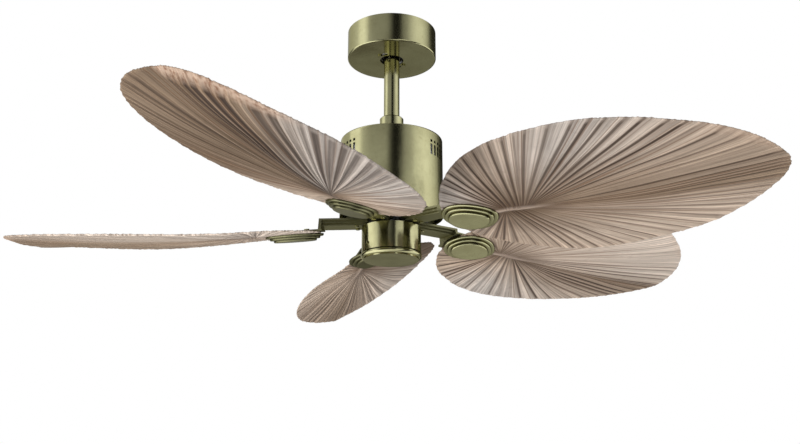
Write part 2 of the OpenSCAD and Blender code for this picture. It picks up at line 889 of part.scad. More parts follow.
module lower_bell() {
    color("silver")
        difference() {
            translate([0, 0, rotor_bottom]) bell_end_disc(rotor_h / 2);
            ring_of(bell_screw_count)
                translate([bell_screw_at, 0, 0])
                    rod_between(bell_screw_d / 2 + screw_fit, rotor_bottom - overlap, rotor_split + overlap);
            ring_of(len([for (i = BLADES) i]))
                translate([flywheel_screw_at, 0, 0])
                    rod_between(flywheel_screw_d / 2 + screw_fit, rotor_bottom - overlap,
                                rotor_bottom + bell_end + overlap);
        }
}

module magnet_ring() {
    color("dimgray")
        tube(rotor_in_r - pin_fit, rotor_in_r - magnet_wall, core_mid - core_h / 2, core_mid + core_h / 2);
}

// A sealed ball bearing: two rings with a shallow groove between them on each face
module bearing(low) {
    groove = 1.2;
    middle = (shaft_r + bearing_r) / 2;
    color("lightgray")
        difference() {
            tube(bearing_r, shaft_r + run_fit, low, low + bearing_h);
            tube(middle + 2, middle - 2, low - overlap, low + groove);
            tube(middle + 2, middle - 2, low + bearing_h - groove, low + bearing_h + overlap);
        }
}

module upper_bearing() {
    bearing(rotor_top - bell_end - bearing_h);
}

module lower_bearing() {
    bearing(rotor_bottom + bell_end);
}

module bell_screws() {
    color("silver")
        ring_of(bell_screw_count)
            translate([bell_screw_at, 0, 0]) {
                rod_between(bell_screw_d / 2, rotor_bottom, rotor_split + bell_screw_bite);
                rod_between(bell_head_r, rotor_bottom - bell_head_h, rotor_bottom);
            }
}

// --- Flywheel and arms ---

module flywheel() {
    top = rotor_bottom;
    color("dimgray")
        difference() {
            rotate_extrude()
                polygon([
                    [flywheel_hole_r, flywheel_low],
                    [flywheel_r, flywheel_low],
                    [flywheel_r, flywheel_low + flywheel_flange],
                    [flywheel_waist_r, flywheel_low + flywheel_flange + 3],
                    [flywheel_waist_r, top - flywheel_top_h - 3],
                    [flywheel_top_r, top - flywheel_top_h],
                    [flywheel_top_r, top],
                    [flywheel_hole_r, top]
                ]);
            ring_of(len([for (i = BLADES) i]))
                translate([flywheel_screw_at, 0, 0]) {
                    rod_between(flywheel_screw_d / 2 + screw_fit, flywheel_low - overlap, top + overlap);
                    rod_between(flywheel_head_r + swing_gap, flywheel_low - overlap,
                                flywheel_low + flywheel_head_h + swing_gap);
                }
            around([for (i = BLADES) blade_angle(i)])
                for (side = [-1, 1])
                    translate([arm_screw_r, side * arm_screw_offset, 0])
                        rod_between(arm_screw_d / 2 + screw_fit, flywheel_low - overlap,
                                    flywheel_low + arm_screw_bite + screw_fit);
        }
}

module flywheel_screws() {
    color("silver")
        ring_of(len([for (i = BLADES) i]))
            translate([flywheel_screw_at, 0, 0]) {
                rod_between(flywheel_screw_d / 2, flywheel_low + swing_gap + flywheel_head_h,
                            rotor_bottom + bell_end);
                rod_between(flywheel_head_r, flywheel_low + swing_gap,
                            flywheel_low + swing_gap + flywheel_head_h);
            }
}

function blade_angle(i) = first_blade_angle - (i - 1) * blade_step;

// Puts the children at blade i, at the blades' own level
module at_blade(i) {
    translate([0, 0, blade_z]) rotate([0, 0, blade_angle(i)]) children();
}

// Lowers the children's outer end as the leaf droops from its root
module on_droop() {
    translate([leaf_root_r, 0, -seat_depth])
        rotate([0, leaf_droop, 0])
            translate([-leaf_root_r, 0, 0])
                children();
}

// Tilts the children as the leaf's root is tilted: +Y is the low side
module on_seat() {
    on_droop() rotate([-leaf_pitch, 0, 0]) children();
}

module leaf_screw_holes(low, high) {
    for (spot = leaf_screw_spots)
        translate([spot[0], spot[1], 0])
            rotate([0, 0, hole_turn])
                rod_between(leaf_screw_d / 2 + screw_fit, low, high);
}

// Outline of the pad, from the arm's end to a rounded tip
module pad_outline() {
    straight_end = pad_end_r - pad_half;
    translate([arm_end_r - drop_wall, -pad_half])
        square([straight_end - arm_end_r + drop_wall, 2 * pad_half]);
    translate([straight_end, 0]) circle(r = pad_half);
}

// The wall from the arm's end down to the pad
module arm_drop() {
    outer = arm_end_r + drop_slant;
    difference() {
        rotate([90, 0, 0])
            linear_extrude(arm_width, center = true)
                polygon([
                    [arm_end_r - drop_wall, arm_top],
                    [arm_end_r, arm_top],
                    [outer, -2 * arm_top],
                    [outer - drop_wall, -2 * arm_top]
                ]);
        on_seat()
            translate([arm_root_r, -arm_width, pad_low + pad_thickness / 2 - 3 * arm_top])
                cube([arm_end_r, 2 * arm_width, 3 * arm_top]);
    }
}

module blade_arm(i) {
    pad_high = pad_low + pad_thickness;
    color("olive")
        at_blade(i)
            difference() {
                union() {
                    for (tier = [0 : 2])
                        translate([arm_root_r, -arm_width / 2 + tier * arm_step / 2,
                                   arm_top - (tier + 1) * arm_tier])
                            cube([arm_end_r - arm_root_r - tier * 1.5, arm_width - tier * arm_step,
                                  arm_tier + (tier > 0 ? overlap : 0)]);
                    arm_drop();
                    on_seat()
                        translate([0, 0, pad_low])
                            linear_extrude(pad_thickness) pad_outline();
                }
                for (side = [-1, 1])
                    translate([arm_screw_r, side * arm_screw_offset, 0])
                        rod_between(arm_screw_d / 2 + screw_fit, arm_bottom - overlap, arm_top + overlap);
                on_seat() leaf_screw_holes(pad_low - overlap, pad_high + overlap);
            }
}

module arm_screws() {
    color("silver")
        for (i = BLADES)
            at_blade(i)
                for (side = [-1, 1])
                    translate([arm_screw_r, side * arm_screw_offset, 0]) {
                        rod_between(arm_screw_d / 2, arm_bottom, arm_top + arm_screw_bite);
                        rod_between(arm_head_r, arm_bottom - arm_head_h, arm_bottom);
                    }
}

module leaf_screws() {
    pad_high = pad_low + pad_thickness;
    color("silver")
        for (i = BLADES)
            at_blade(i)
                on_seat()
                    for (spot = leaf_screw_spots)
                        translate([spot[0], spot[1], 0]) {
                            rod_between(leaf_screw_d / 2, medallion_top - leaf_screw_bite, pad_high);
                            rod_between(leaf_head_r, pad_high, pad_high + leaf_head_h);
                        }
}

// --- Medallion ---

// Rounded at its inner end and pointed at its outer end
function medallion_outline(inset) =
    let(
        length = medallion_length - 2 * inset,
        half = medallion_width / 2 - inset,
        start = medallion_root_r + inset,
        n = medallion_points / 2
    )
    [for (k = [0 : 2 * n - 1])
        let(
            t = (1 - cos(180 * k / n)) / 2,
            side = k <= n ? 1 : -1
        )
        [start + length * t, side * half * swell(t, 1, medallion_root_fullness, medallion_tip_fullness)]
    ];

module blade_medallion(i) {
    color("olive")
        at_blade(i)
            on_seat()
                difference() {
                    union()
                        for (tier = [0 : 2])
                            translate([0, 0, medallion_top - (tier + 1) * medallion_tier])
                                linear_extrude(medallion_tier + (tier > 0 ? overlap : 0))
                                    polygon(medallion_outline(tier * medallion_step));
                    leaf_screw_holes(medallion_top - leaf_screw_bite - screw_fit, medallion_top + overlap);
                }
}

// --- Leaf ---

// 0 on the flat seat between pad and medallion, rising to 1 away from it
function off_seat(u, v, reach) =
    let(
        along = max(0, u - leaf_centre_r),
        across = max(0, abs(v) - seat_half)
    )
    min(1, norm([along, across]) / reach);

// What sets one leaf apart from another, in the order of its values above
leaf_shapes = [
    [leaf_1_tip_r, leaf_1_low_half, leaf_1_high_half, leaf_1_reach, leaf_1_fall,
     leaf_1_lift, leaf_1_low_drop, leaf_1_high_rise, leaf_1_twist,
     leaf_1_low_root, leaf_1_low_tip, leaf_1_high_root, leaf_1_high_tip],
    [leaf_2_tip_r, leaf_2_low_half, leaf_2_high_half, leaf_2_reach, leaf_2_fall,
     leaf_2_lift, leaf_2_low_drop, leaf_2_high_rise, leaf_2_twist,
     leaf_2_low_root, leaf_2_low_tip, leaf_2_high_root, leaf_2_high_tip],
    [leaf_3_tip_r, leaf_3_low_half, leaf_3_high_half, leaf_3_reach, leaf_3_fall,
     leaf_3_lift, leaf_3_low_drop, leaf_3_high_rise, leaf_3_twist,
     leaf_3_low_root, leaf_3_low_tip, leaf_3_high_root, leaf_3_high_tip],
    [leaf_4_tip_r, leaf_4_low_half, leaf_4_high_half, leaf_4_reach, leaf_4_fall,
     leaf_4_lift, leaf_4_low_drop, leaf_4_high_rise, leaf_4_twist,
     leaf_4_low_root, leaf_4_low_tip, leaf_4_high_root, leaf_4_high_tip],
    [leaf_5_tip_r, leaf_5_low_half, leaf_5_high_half, leaf_5_reach, leaf_5_fall,
     leaf_5_lift, leaf_5_low_drop, leaf_5_high_rise, leaf_5_twist,
     leaf_5_low_root, leaf_5_low_tip, leaf_5_high_root, leaf_5_high_tip]
];

// Share of the way from the leaf's centre to its tip
function past_centre(u, shape) = max(0, (u - leaf_centre_r) / (shape[0] - leaf_centre_r));

// Height of the leaf's middle surface above the seat's plane
function leaf_height(u, v, shape) =
    let(
        past = past_centre(u, shape),
        side = max(0, (abs(v) - seat_half) / edge_reach),
        curl = v > 0 ? -shape[6] : shape[7]
    )
    -shape[4] * past + shape[5] * past * past + curl * side * side;

// The leaf's edge, going out along the low side and back along the high side
function rim_point(k, shape) =
    let(
        half = leaf_rim / 2,
        t = (1 - cos(180 * k / half)) / 2,
        middle = -shape[3] * t * t * t,
        low = swell(t, shape[1], shape[9], shape[10]),
        high = swell(t, shape[2], shape[11], shape[12])
    )
    [leaf_root_r + (shape[0] - leaf_root_r) * t, k <= half ? middle + low : middle - high];

// A point of the leaf: face is 1 for the upper side and -1 for the lower side
function leaf_point(k, share, face, shape) =
    let(
        centre = [leaf_centre_r, 0],
        spot = centre + share * (rim_point(k, shape) - centre),
        u = spot[0],
        v = spot[1],
        fold = (k % 2 == 0 ? 1 : -1) * fold_height * share * off_seat(u, v, seat_blend),
        hem = share > hem_share ? hem_extra * off_seat(u, v, hem_blend) : 0,
        rise = leaf_height(u, v, shape) + fold + face * (leaf_thickness + hem) / 2,
        tilt = leaf_pitch + shape[8] * past_centre(u, shape)
    )
    [u, v * cos(tilt) + rise * sin(tilt), rise * cos(tilt) - v * sin(tilt)];

module leaf_body(shape) {
    rings = len(leaf_rings);
    side_points = rings * leaf_rim;
    points = concat(
        [for (face = [1, -1]) for (r = leaf_rings) for (k = [0 : leaf_rim - 1])
            leaf_point(k, r, face, shape)],
        [for (face = [1, -1]) leaf_point(0, 0, face, shape)]
    );
    top_centre = 2 * side_points;
    faces = concat(
        [for (k = [0 : leaf_rim - 1]) [top_centre, k, (k + 1) % leaf_rim]],
        [for (r = [0 : rings - 2]) for (k = [0 : leaf_rim - 1])
            let(a = r * leaf_rim + k, b = r * leaf_rim + (k + 1) % leaf_rim) each
            [[a, a + leaf_rim, b], [b, a + leaf_rim, b + leaf_rim]]],
        [for (k = [0 : leaf_rim - 1])
            [top_centre + 1, side_points + (k + 1) % leaf_rim, side_points + k]],
        [for (r = [0 : rings - 2]) for (k = [0 : leaf_rim - 1])
            let(
                a = side_points + r * leaf_rim + k,
                b = side_points + r * leaf_rim + (k + 1) % leaf_rim
            ) each
            [[a, b, a + leaf_rim], [b, b + leaf_rim, a + leaf_rim]]],
        [for (k = [0 : leaf_rim - 1])
            let(
                a = (rings - 1) * leaf_rim + k,
                b = (rings - 1) * leaf_rim + (k + 1) % leaf_rim
            ) each
            [[a, a + side_points, b], [b, a + side_points, b + side_points]]]
    );
    polyhedron(points = points, faces = faces, convexity = 6);
}

module blade_leaf(i) {
    color("rosybrown")
        at_blade(i)
            difference() {
                on_droop() leaf_body(leaf_shapes[i - 1]);
                on_seat() leaf_screw_holes(-leaf_thickness, leaf_thickness);
            }
}

// --- Cup ---

module upper_cup() {
    color("darkkhaki")
        difference() {
            union() {
                tube(cup_r, cup_in_r, upper_cup_bottom, cup_top);
                rod_between(cup_r, cup_top - cup_wall, cup_top);
                tube(skirt_r, skirt_r - skirt_wall, upper_cup_bottom - skirt_h, upper_cup_bottom + overlap);
                tube(cup_r - cup_wall / 2, skirt_r - skirt_wall, upper_cup_bottom,
                     upper_cup_bottom + overlap);
            }
            rod_between(shaft_r + screw_fit, cup_top - cup_wall - overlap, cup_top + overlap);
            around(cover_screw_angles)
                translate([0, 0, cover_screw_z])
                    rotate([0, 90, 0])
                        cylinder(r = cover_screw_d / 2 + screw_fit, h = cup_r);
        }
}

module cup_mount_plate() {
    color("silver")
        difference() {
            union() {
                rod_between(plate_r, plate_top - plate_h, plate_top);
                ring_of(3)
                    translate([standoff_at, 0, 0]) rod_between(standoff_r, board_top, plate_top - overlap);
            }
            rod_between(shaft_r + screw_fit, plate_top - plate_h - overlap, plate_top + overlap);
        }
}

module shaft_nut() {
    color("silver")
        difference() {
            translate([0, 0, nut_z]) cylinder(r = nut_across / 2 / cos(30), h = nut_h, $fn = 6);
            rod_between(shaft_r + pin_fit, nut_z - overlap, nut_z + nut_h + overlap);
        }
}

module driver_board() {
    color("seagreen") rod_between(board_d / 2, board_top - board_thickness, board_top);
}

module capacitor() {
    color("black")
        translate([-capacitor_size[0] / 2, -capacitor_size[1] / 2,
                   board_top - board_thickness - capacitor_size[2]])
            cube(capacitor_size);
}

module cup_cover() {
    color("darkkhaki")
        difference() {
            union() {
                rod_between(cup_r, cover_bottom + lip_h, upper_cup_bottom);
                translate([0, 0, cover_bottom])
                    rotate_extrude() {
                        square([lip_r - lip_h / 2, lip_h]);
                        translate([lip_r - lip_h / 2, lip_h / 2]) circle(r = lip_h / 2);
                    }
            }
            rod_between(cup_in_r, cover_bottom + lip_h + cover_floor, upper_cup_bottom + overlap);
            rod_between(lip_in_r, cover_bottom + cover_floor, upper_cup_bottom);
            rod_between(cap_boss_r, cover_bottom - overlap, cover_bottom + lip_h);
            around(cover_screw_angles)
                translate([0, 0, cover_screw_z])
                    rotate([0, 90, 0])
                        cylinder(r = cover_screw_d / 2 + screw_fit, h = lip_r);
        }
}

module cover_screws() {
    color("silver")
        around(cover_screw_angles)
            translate([skirt_r - skirt_wall - overlap, 0, cover_screw_z])
                rotate([0, 90, 0]) {
                    length = cup_r - skirt_r + skirt_wall + overlap;
                    cylinder(d = cover_screw_d, h = length);
                    translate([0, 0, length]) cylinder(r = cover_head_r, h = cover_head_h);
                }
}

module cup_cap() {
    color("olive") {
        rod_between(cap_r, cap_z, cover_bottom);
        rod_between(cap_boss_r - seat_gap, cover_bottom - overlap / 2, cover_bottom + cover_floor);
    }
}

hanger_bracket();
canopy();
canopy_screws();
remote_receiver();
seat_liner();
hanger_ball();
ball_pin();
ball_set_screw();
downrod();
rod_coupling();
clevis_pin();
pin_clip();
coupling_screws();
coupling_collar();
motor_housing();
housing_clamp();
housing_screws();
motor_shaft();
stator_core();
stator_winding();
shaft_spacer();
upper_cup();
cup_mount_plate();
shaft_nut();
driver_board();
capacitor();
cup_cover();
cover_screws();
cup_cap();
upper_bell();
lower_bell();
magnet_ring();
upper_bearing();
lower_bearing();
bell_screws();
flywheel();
flywheel_screws();
arm_screws();
leaf_screws();
for (i = BLADES) {
    blade_arm(i);
    blade_leaf(i);
    blade_medallion(i);
}
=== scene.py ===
import bpy
import json
import math
import numpy as np
from mathutils import Matrix, Vector
from types import SimpleNamespace


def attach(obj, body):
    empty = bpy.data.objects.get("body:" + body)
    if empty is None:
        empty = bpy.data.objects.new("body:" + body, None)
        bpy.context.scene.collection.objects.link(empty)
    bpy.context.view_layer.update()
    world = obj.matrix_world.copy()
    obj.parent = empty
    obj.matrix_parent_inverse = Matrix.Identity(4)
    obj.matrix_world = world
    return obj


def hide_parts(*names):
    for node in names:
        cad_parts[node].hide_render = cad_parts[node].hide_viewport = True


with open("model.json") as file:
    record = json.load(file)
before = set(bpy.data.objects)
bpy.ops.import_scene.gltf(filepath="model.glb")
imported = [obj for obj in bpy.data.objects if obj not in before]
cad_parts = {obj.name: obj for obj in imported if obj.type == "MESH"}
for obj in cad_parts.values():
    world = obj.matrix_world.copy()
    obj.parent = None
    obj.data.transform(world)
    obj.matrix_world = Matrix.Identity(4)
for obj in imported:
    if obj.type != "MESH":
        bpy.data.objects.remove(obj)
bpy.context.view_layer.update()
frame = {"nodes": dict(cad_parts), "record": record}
NODES = frame["nodes"]

# ---------------------------------------------------------------- camera
bpy.ops.object.select_all(action="DESELECT")
bpy.ops.object.camera_add(location=(0.0, -1.5400, -0.8088),
                          rotation=(math.radians(106.626), 0.0, -math.radians(0.537)))
camera = bpy.context.object
camera.name = "photo_camera"
camera.data.lens = 43.2
camera.data.sensor_width = 36.0
camera.data.dof.use_dof = False
bpy.context.scene.camera = camera
bpy.context.scene.view_settings.view_transform = "Standard"


# ---------------------------------------------------------------- node helpers
class Paint:
    """A material being built from nodes."""

    def __init__(self, name):
        self.mat = bpy.data.materials.new(name)
        self.mat.use_nodes = True
        self.tree = self.mat.node_tree
        self.tree.nodes.clear()
        self.out = self.add("ShaderNodeOutputMaterial")
        self.bsdf = self.add("ShaderNodeBsdfPrincipled")
        self.tree.links.new(self.bsdf.outputs[0], self.out.inputs[0])
        self.coord = self.add("ShaderNodeTexCoord")

    def add(self, kind, **props):
        node = self.tree.nodes.new(kind)
        for key, value in props.items():
            setattr(node, key, value)
        return node

    def put(self, socket, value):
        if isinstance(value, bpy.types.NodeSocket):
            self.tree.links.new(value, socket)
        else:
            socket.default_value = value

    def value(self, name):
        return self.add("ShaderNodeAttribute", attribute_name=name).outputs["Fac"]

    def math(self, op, a, b=0.0):
        node = self.add("ShaderNodeMath", operation=op)
        self.put(node.inputs[0], a)
        self.put(node.inputs[1], b)
        return node.outputs[0]

    def blend(self, a, share, b):
        """Two values added up, the first one with this share and the second one with the rest."""
        return self.math("ADD", self.math("MULTIPLY", a, share), self.math("MULTIPLY", b, 1 - share))

    def xyz(self, vector):
        node = self.add("ShaderNodeSeparateXYZ")
        self.put(node.inputs[0], vector)
        return node.outputs

    def noise(self, vector, scale, detail=4.0, rough=0.5):
        node = self.add("ShaderNodeTexNoise")
        self.put(node.inputs["Vector"], vector)
        node.inputs["Scale"].default_value = scale
        node.inputs["Detail"].default_value = detail
        node.inputs["Roughness"].default_value = rough
        return node.outputs["Fac"]

    def stretch(self, vector, scale):
        node = self.add("ShaderNodeMapping")
        self.put(node.inputs["Vector"], vector)
        node.inputs["Scale"].default_value = scale
        return node.outputs[0]

    def ramp(self, fac, stops):
        node = self.add("ShaderNodeValToRGB")
        bar = node.color_ramp
        while len(bar.elements) < len(stops):
            bar.elements.new(0.5)
        for element, (place, colour) in zip(bar.elements, stops):
            element.position = place
            element.color = tuple(colour) + (1.0,)
        self.put(node.inputs[0], fac)
        return node.outputs[0]

    def mix(self, fac, a, b, blend="MIX"):
        node = self.add("ShaderNodeMix", data_type="RGBA", blend_type=blend)
        self.put(node.inputs[0], fac)
        self.put(node.inputs[6], a if isinstance(a, bpy.types.NodeSocket) else tuple(a) + (1.0,))
        self.put(node.inputs[7], b if isinstance(b, bpy.types.NodeSocket) else tuple(b) + (1.0,))
        return node.outputs[2]

    def remap(self, value, a, b, c, d):
        node = self.add("ShaderNodeMapRange")
        self.put(node.inputs[0], value)
        for k, x in enumerate((a, b, c, d)):
            node.inputs[k + 1].default_value = x
        return node.outputs[0]

    def scale(self, colour, factor):
        node = self.add("ShaderNodeVectorMath", operation="SCALE")
        self.put(node.inputs[0], colour)
        self.put(node.inputs["Scale"], factor)
        return node.outputs[0]

    def bump(self, height, strength, distance):
        node = self.add("ShaderNodeBump")
        node.inputs["Strength"].default_value = strength
        node.inputs["Distance"].default_value = distance
        self.put(node.inputs["Height"], height)
        self.put(self.bsdf.inputs["Normal"], node.outputs[0])


# light values of antique brass: the plate, its older patches, specks, and the painted shade in the
# medallions' ring corners and grooves
BRASS = (0.27, 0.262, 0.15)
OLD_BRASS = (0.215, 0.205, 0.112)
BRASS_SPECKS = (0.16, 0.14, 0.07)
BRASS_RING_SHADE = (0.03, 0.028, 0.014)
BRASS_EDGE = (0.80, 0.78, 0.62, 1.0)
TURNED_LINES = 1900.0
STRAIGHT_LINES = (260.0, 260.0, 1500.0)


def brass(name, turned, rough=0.14, tone=1.0):
    """Brushed antique brass plate. turned: brushed round the fan's axis."""
    p = Paint(name)
    where = p.coord.outputs["Object"]
    cloud = p.noise(where, 22.0, 5.0, 0.6)
    fine = p.noise(where, 160.0, 3.0, 0.6)
    plate, old, specks = [tuple(c * tone for c in base) for base in (BRASS, OLD_BRASS, BRASS_SPECKS)]
    colour = p.mix(p.remap(cloud, 0.35, 0.7, 0.0, 1.0), plate, old)
    colour = p.mix(p.remap(fine, 0.55, 0.8, 0.0, 0.35), colour, specks)
    if not turned:
        # painted shade: darkens the medallions' ring walls, grooves and foot by the mesh's own values,
        # leaving the rounded edges bright
        colour = p.mix(p.math("MULTIPLY", p.value("ring_shade"), 0.8), colour, BRASS_RING_SHADE)
    p.put(p.bsdf.inputs["Base Color"], colour)
    p.bsdf.inputs["Metallic"].default_value = 1.0
    p.bsdf.inputs["Specular Tint"].default_value = BRASS_EDGE
    if turned:
        x, y, z = p.xyz(where)
        reach = p.math("SQRT", p.math("ADD", p.math("MULTIPLY", x, x), p.math("MULTIPLY", y, y)))
        lines = p.add("ShaderNodeTexNoise", noise_dimensions="1D")
        p.put(lines.inputs["W"], p.math("MULTIPLY", p.math("ADD", reach, z), TURNED_LINES))
        lines.inputs["Detail"].default_value = 3.0
        height = lines.outputs["Fac"]
        tangent = p.add("ShaderNodeTangent", direction_type="RADIAL", axis="Z")
        p.put(p.bsdf.inputs["Tangent"], tangent.outputs[0])
        p.bsdf.inputs["Anisotropic"].default_value = 0.6
        p.bsdf.inputs["Anisotropic Rotation"].default_value = 0.25
    else:
        height = p.noise(p.stretch(where, STRAIGHT_LINES), 1.0, 3.0)
    uneven = p.blend(cloud, 0.7, height)
    p.put(p.bsdf.inputs["Roughness"], p.remap(uneven, 0.3, 0.7, rough - 0.04, rough + 0.07))
    p.bump(p.blend(height, 0.5, fine), 0.12, 0.0002)
    return p.mat


def plain_metal(name, base, rough, spots=0.2):
    """Bare metal. spots: how much darker its dull patches are."""
    p = Paint(name)
    where = p.coord.outputs["Object"]
    cloud = p.noise(where, 45.0, 5.0, 0.6)
    fine = p.noise(where, 600.0, 2.0, 0.5)
    dull = tuple(c * (1 - spots) for c in base)
    p.put(p.bsdf.inputs["Base Color"], p.mix(p.remap(cloud, 0.35, 0.65, 0.0, 1.0), base, dull))
    p.bsdf.inputs["Metallic"].default_value = 1.0
    p.put(p.bsdf.inputs["Roughness"], p.remap(cloud, 0.3, 0.7, rough - 0.05, rough + 0.08))
    p.bump(fine, 0.15, 0.0002)
    return p.mat


def plain_coat(name, base, rough, grain=900.0, depth=0.1):
    """Paint, plastic or ceramic with a fine grain and paler worn patches."""
    p = Paint(name)
    where = p.coord.outputs["Object"]
    cloud = p.noise(where, 30.0, 5.0, 0.6)
    fine = p.noise(where, grain, 2.0, 0.6)
    worn = tuple(min(1.0, c * 1.18 + 0.01) for c in base)
    p.put(p.bsdf.inputs["Base Color"], p.mix(p.remap(cloud, 0.35, 0.65, 0.0, 1.0), base, worn))
    p.put(p.bsdf.inputs["Roughness"], p.remap(fine, 0.3, 0.7, rough - 0.06, rough + 0.06))
    p.bump(fine, depth, 0.0003)
    return p.mat


CORE_SHEETS = 2000.0
WIRE_TURNS = 7000.0


def core_mat():
    """Stacked electrical sheet, with a dark line between the sheets."""
    p = Paint("core_sheets")
    where = p.coord.outputs["Object"]
    sheet = p.math("FRACT", p.math("MULTIPLY", p.xyz(where)[2], CORE_SHEETS))
    edge = p.math("LESS_THAN", sheet, 0.25)
    p.put(p.bsdf.inputs["Base Color"], p.mix(edge, (0.16, 0.165, 0.175), (0.05, 0.05, 0.055)))
    p.bsdf.inputs["Metallic"].default_value = 1.0
    p.put(p.bsdf.inputs["Roughness"], p.remap(p.noise(where, 60.0), 0.3, 0.7, 0.35, 0.5))
    p.bump(edge, 0.3, 0.0002)
    return p.mat


def copper_mat():
    """Enamelled copper wire, wound in turns."""
    p = Paint("copper_wire")
    where = p.coord.outputs["Object"]
    wire = p.math("SINE", p.math("MULTIPLY", p.xyz(where)[2], WIRE_TURNS))
    lay = p.noise(where, 80.0, 4.0)
    patch = p.remap(lay, 0.35, 0.65, 0.0, 1.0)
    p.put(p.bsdf.inputs["Base Color"], p.mix(patch, (0.42, 0.11, 0.03), (0.26, 0.06, 0.015)))
    p.put(p.bsdf.inputs["Roughness"], p.remap(lay, 0.3, 0.7, 0.2, 0.34))
    p.bump(wire, 0.5, 0.0004)
    return p.mat


def board_mat():
    """Green circuit board with paler tracks."""
    p = Paint("circuit_board")
    where = p.coord.outputs["Object"]
    grid = p.add("ShaderNodeTexVoronoi", distance="MANHATTAN")
    p.put(grid.inputs["Vector"], where)
    grid.inputs["Scale"].default_value = 260.0
    track = p.math("LESS_THAN", grid.outputs["Distance"], 0.2)
    p.put(p.bsdf.inputs["Base Color"], p.mix(track, (0.012, 0.075, 0.022), (0.02, 0.13, 0.04)))
    p.put(p.bsdf.inputs["Roughness"], p.remap(p.noise(where, 200.0), 0.3, 0.7, 0.25, 0.4))
    p.bump(track, 0.3, 0.0001)
    return p.mat


# ---------------------------------------------------------------- palm leaf
LEAVES = range(1, 6)
# folds in a leaf, mesh steps in a fold, and mesh rings over a leaf's two faces
FOLDS = 62
STEPS = 20
RINGS = 70
# the leaf with the strongest streaks and the widest dark lines
STREAKY = 2


def seen(r, g, b):
    """A colour as the eye reads it, 0 to 255, turned into the light values that nodes use."""
    return tuple(c / 255 / 12.92 if c <= 10 else ((c / 255 + 0.055) / 1.055) ** 2.4 for c in (r, g, b))


# tones of a dried palm leaf, in the values that nodes use
DRY = {
    "pale": seen(222, 206, 192),
    "sand": seen(200, 181, 164),
    "ash": seen(190, 180, 172),
    "tan": seen(176, 156, 138),
    "bark": seen(142, 122, 102),
    "umber": seen(105, 87, 69),
}
FINE_LINE = seen(100, 74, 54)
# the crease lines' halo and core: partly the leaf's own fold lines, partly painted shade in the creases
LINE_EDGE = seen(104, 77, 55)
LINE_CORE = seen(48, 33, 22)
STEM = seen(66, 48, 33)
KNOT = seen(47, 34, 25)
MIDRIB = seen(176, 157, 142)
HEM_PALE = seen(206, 180, 160)
HEM_DARK = seen(138, 102, 80)
# Leaf by leaf, going round from the inner end along the low side to the tip and back along the
# high side: place, tone near the edge, tone near the stem, depth of the dark lines.
# Some darker stops, such as those beside the deep hollows of leaves 2 and 5, are partly the leaf's own tone
# and partly painted shade of those folds.
TONES = {
    1: [(0.1, "tan", "umber", 0.7), (0.3, "sand", "bark", 0.5), (0.41, "sand", "tan", 0.45),
        (0.47, "bark", "bark", 0.7), (0.6, "tan", "bark", 0.95), (0.74, "ash", "bark", 0.65),
        (0.85, "tan", "umber", 0.85), (0.95, "ash", "umber", 0.75)],
    2: [(0.05, "tan", "tan", 0.4), (0.2, "ash", "bark", 0.5), (0.35, "ash", "ash", 0.75),
        (0.42, "bark", "ash", 0.95), (0.5, "umber", "bark", 0.95), (0.64, "bark", "bark", 0.5),
        (0.76, "umber", "tan", 0.45), (0.88, "sand", "tan", 0.5)],
    3: [(0.05, "pale", "pale", 0.35), (0.3, "pale", "pale", 0.4), (0.5, "bark", "tan", 0.5),
        (0.65, "bark", "tan", 0.5), (0.82, "tan", "sand", 0.4)],
    4: [(0.1, "tan", "umber", 0.6), (0.28, "sand", "sand", 0.45), (0.4, "tan", "sand", 0.55),
        (0.5, "bark", "tan", 0.6), (0.62, "tan", "sand", 0.55), (0.72, "pale", "tan", 0.5),
        (0.82, "bark", "umber", 0.7), (0.93, "umber", "umber", 0.6)],
    5: [(0.08, "tan", "bark", 0.8), (0.2, "ash", "tan", 0.5), (0.33, "sand", "tan", 0.85),
        (0.46, "bark", "tan", 0.8), (0.56, "pale", "sand", 0.5), (0.68, "pale", "sand", 0.3),
        (0.8, "sand", "sand", 0.55), (0.94, "tan", "bark", 0.65)],
}


def tone_ramp(p, around, number, column):
    """Blends a leaf's tones round the leaf. column: 1 for those near the edge, 2 near the stem."""
    tones = TONES[number]
    first, last = tones[0], tones[-1]
    share = (1 - last[0]) / (first[0] + 1 - last[0])
    seam = tuple(b + (a - b) * share for a, b in zip(DRY[first[column]], DRY[last[column]]))
    stops = [(t[0], DRY[t[column]]) for t in tones]
    return p.ramp(around, [(0.0, seam)] + stops + [(1.0, seam)])


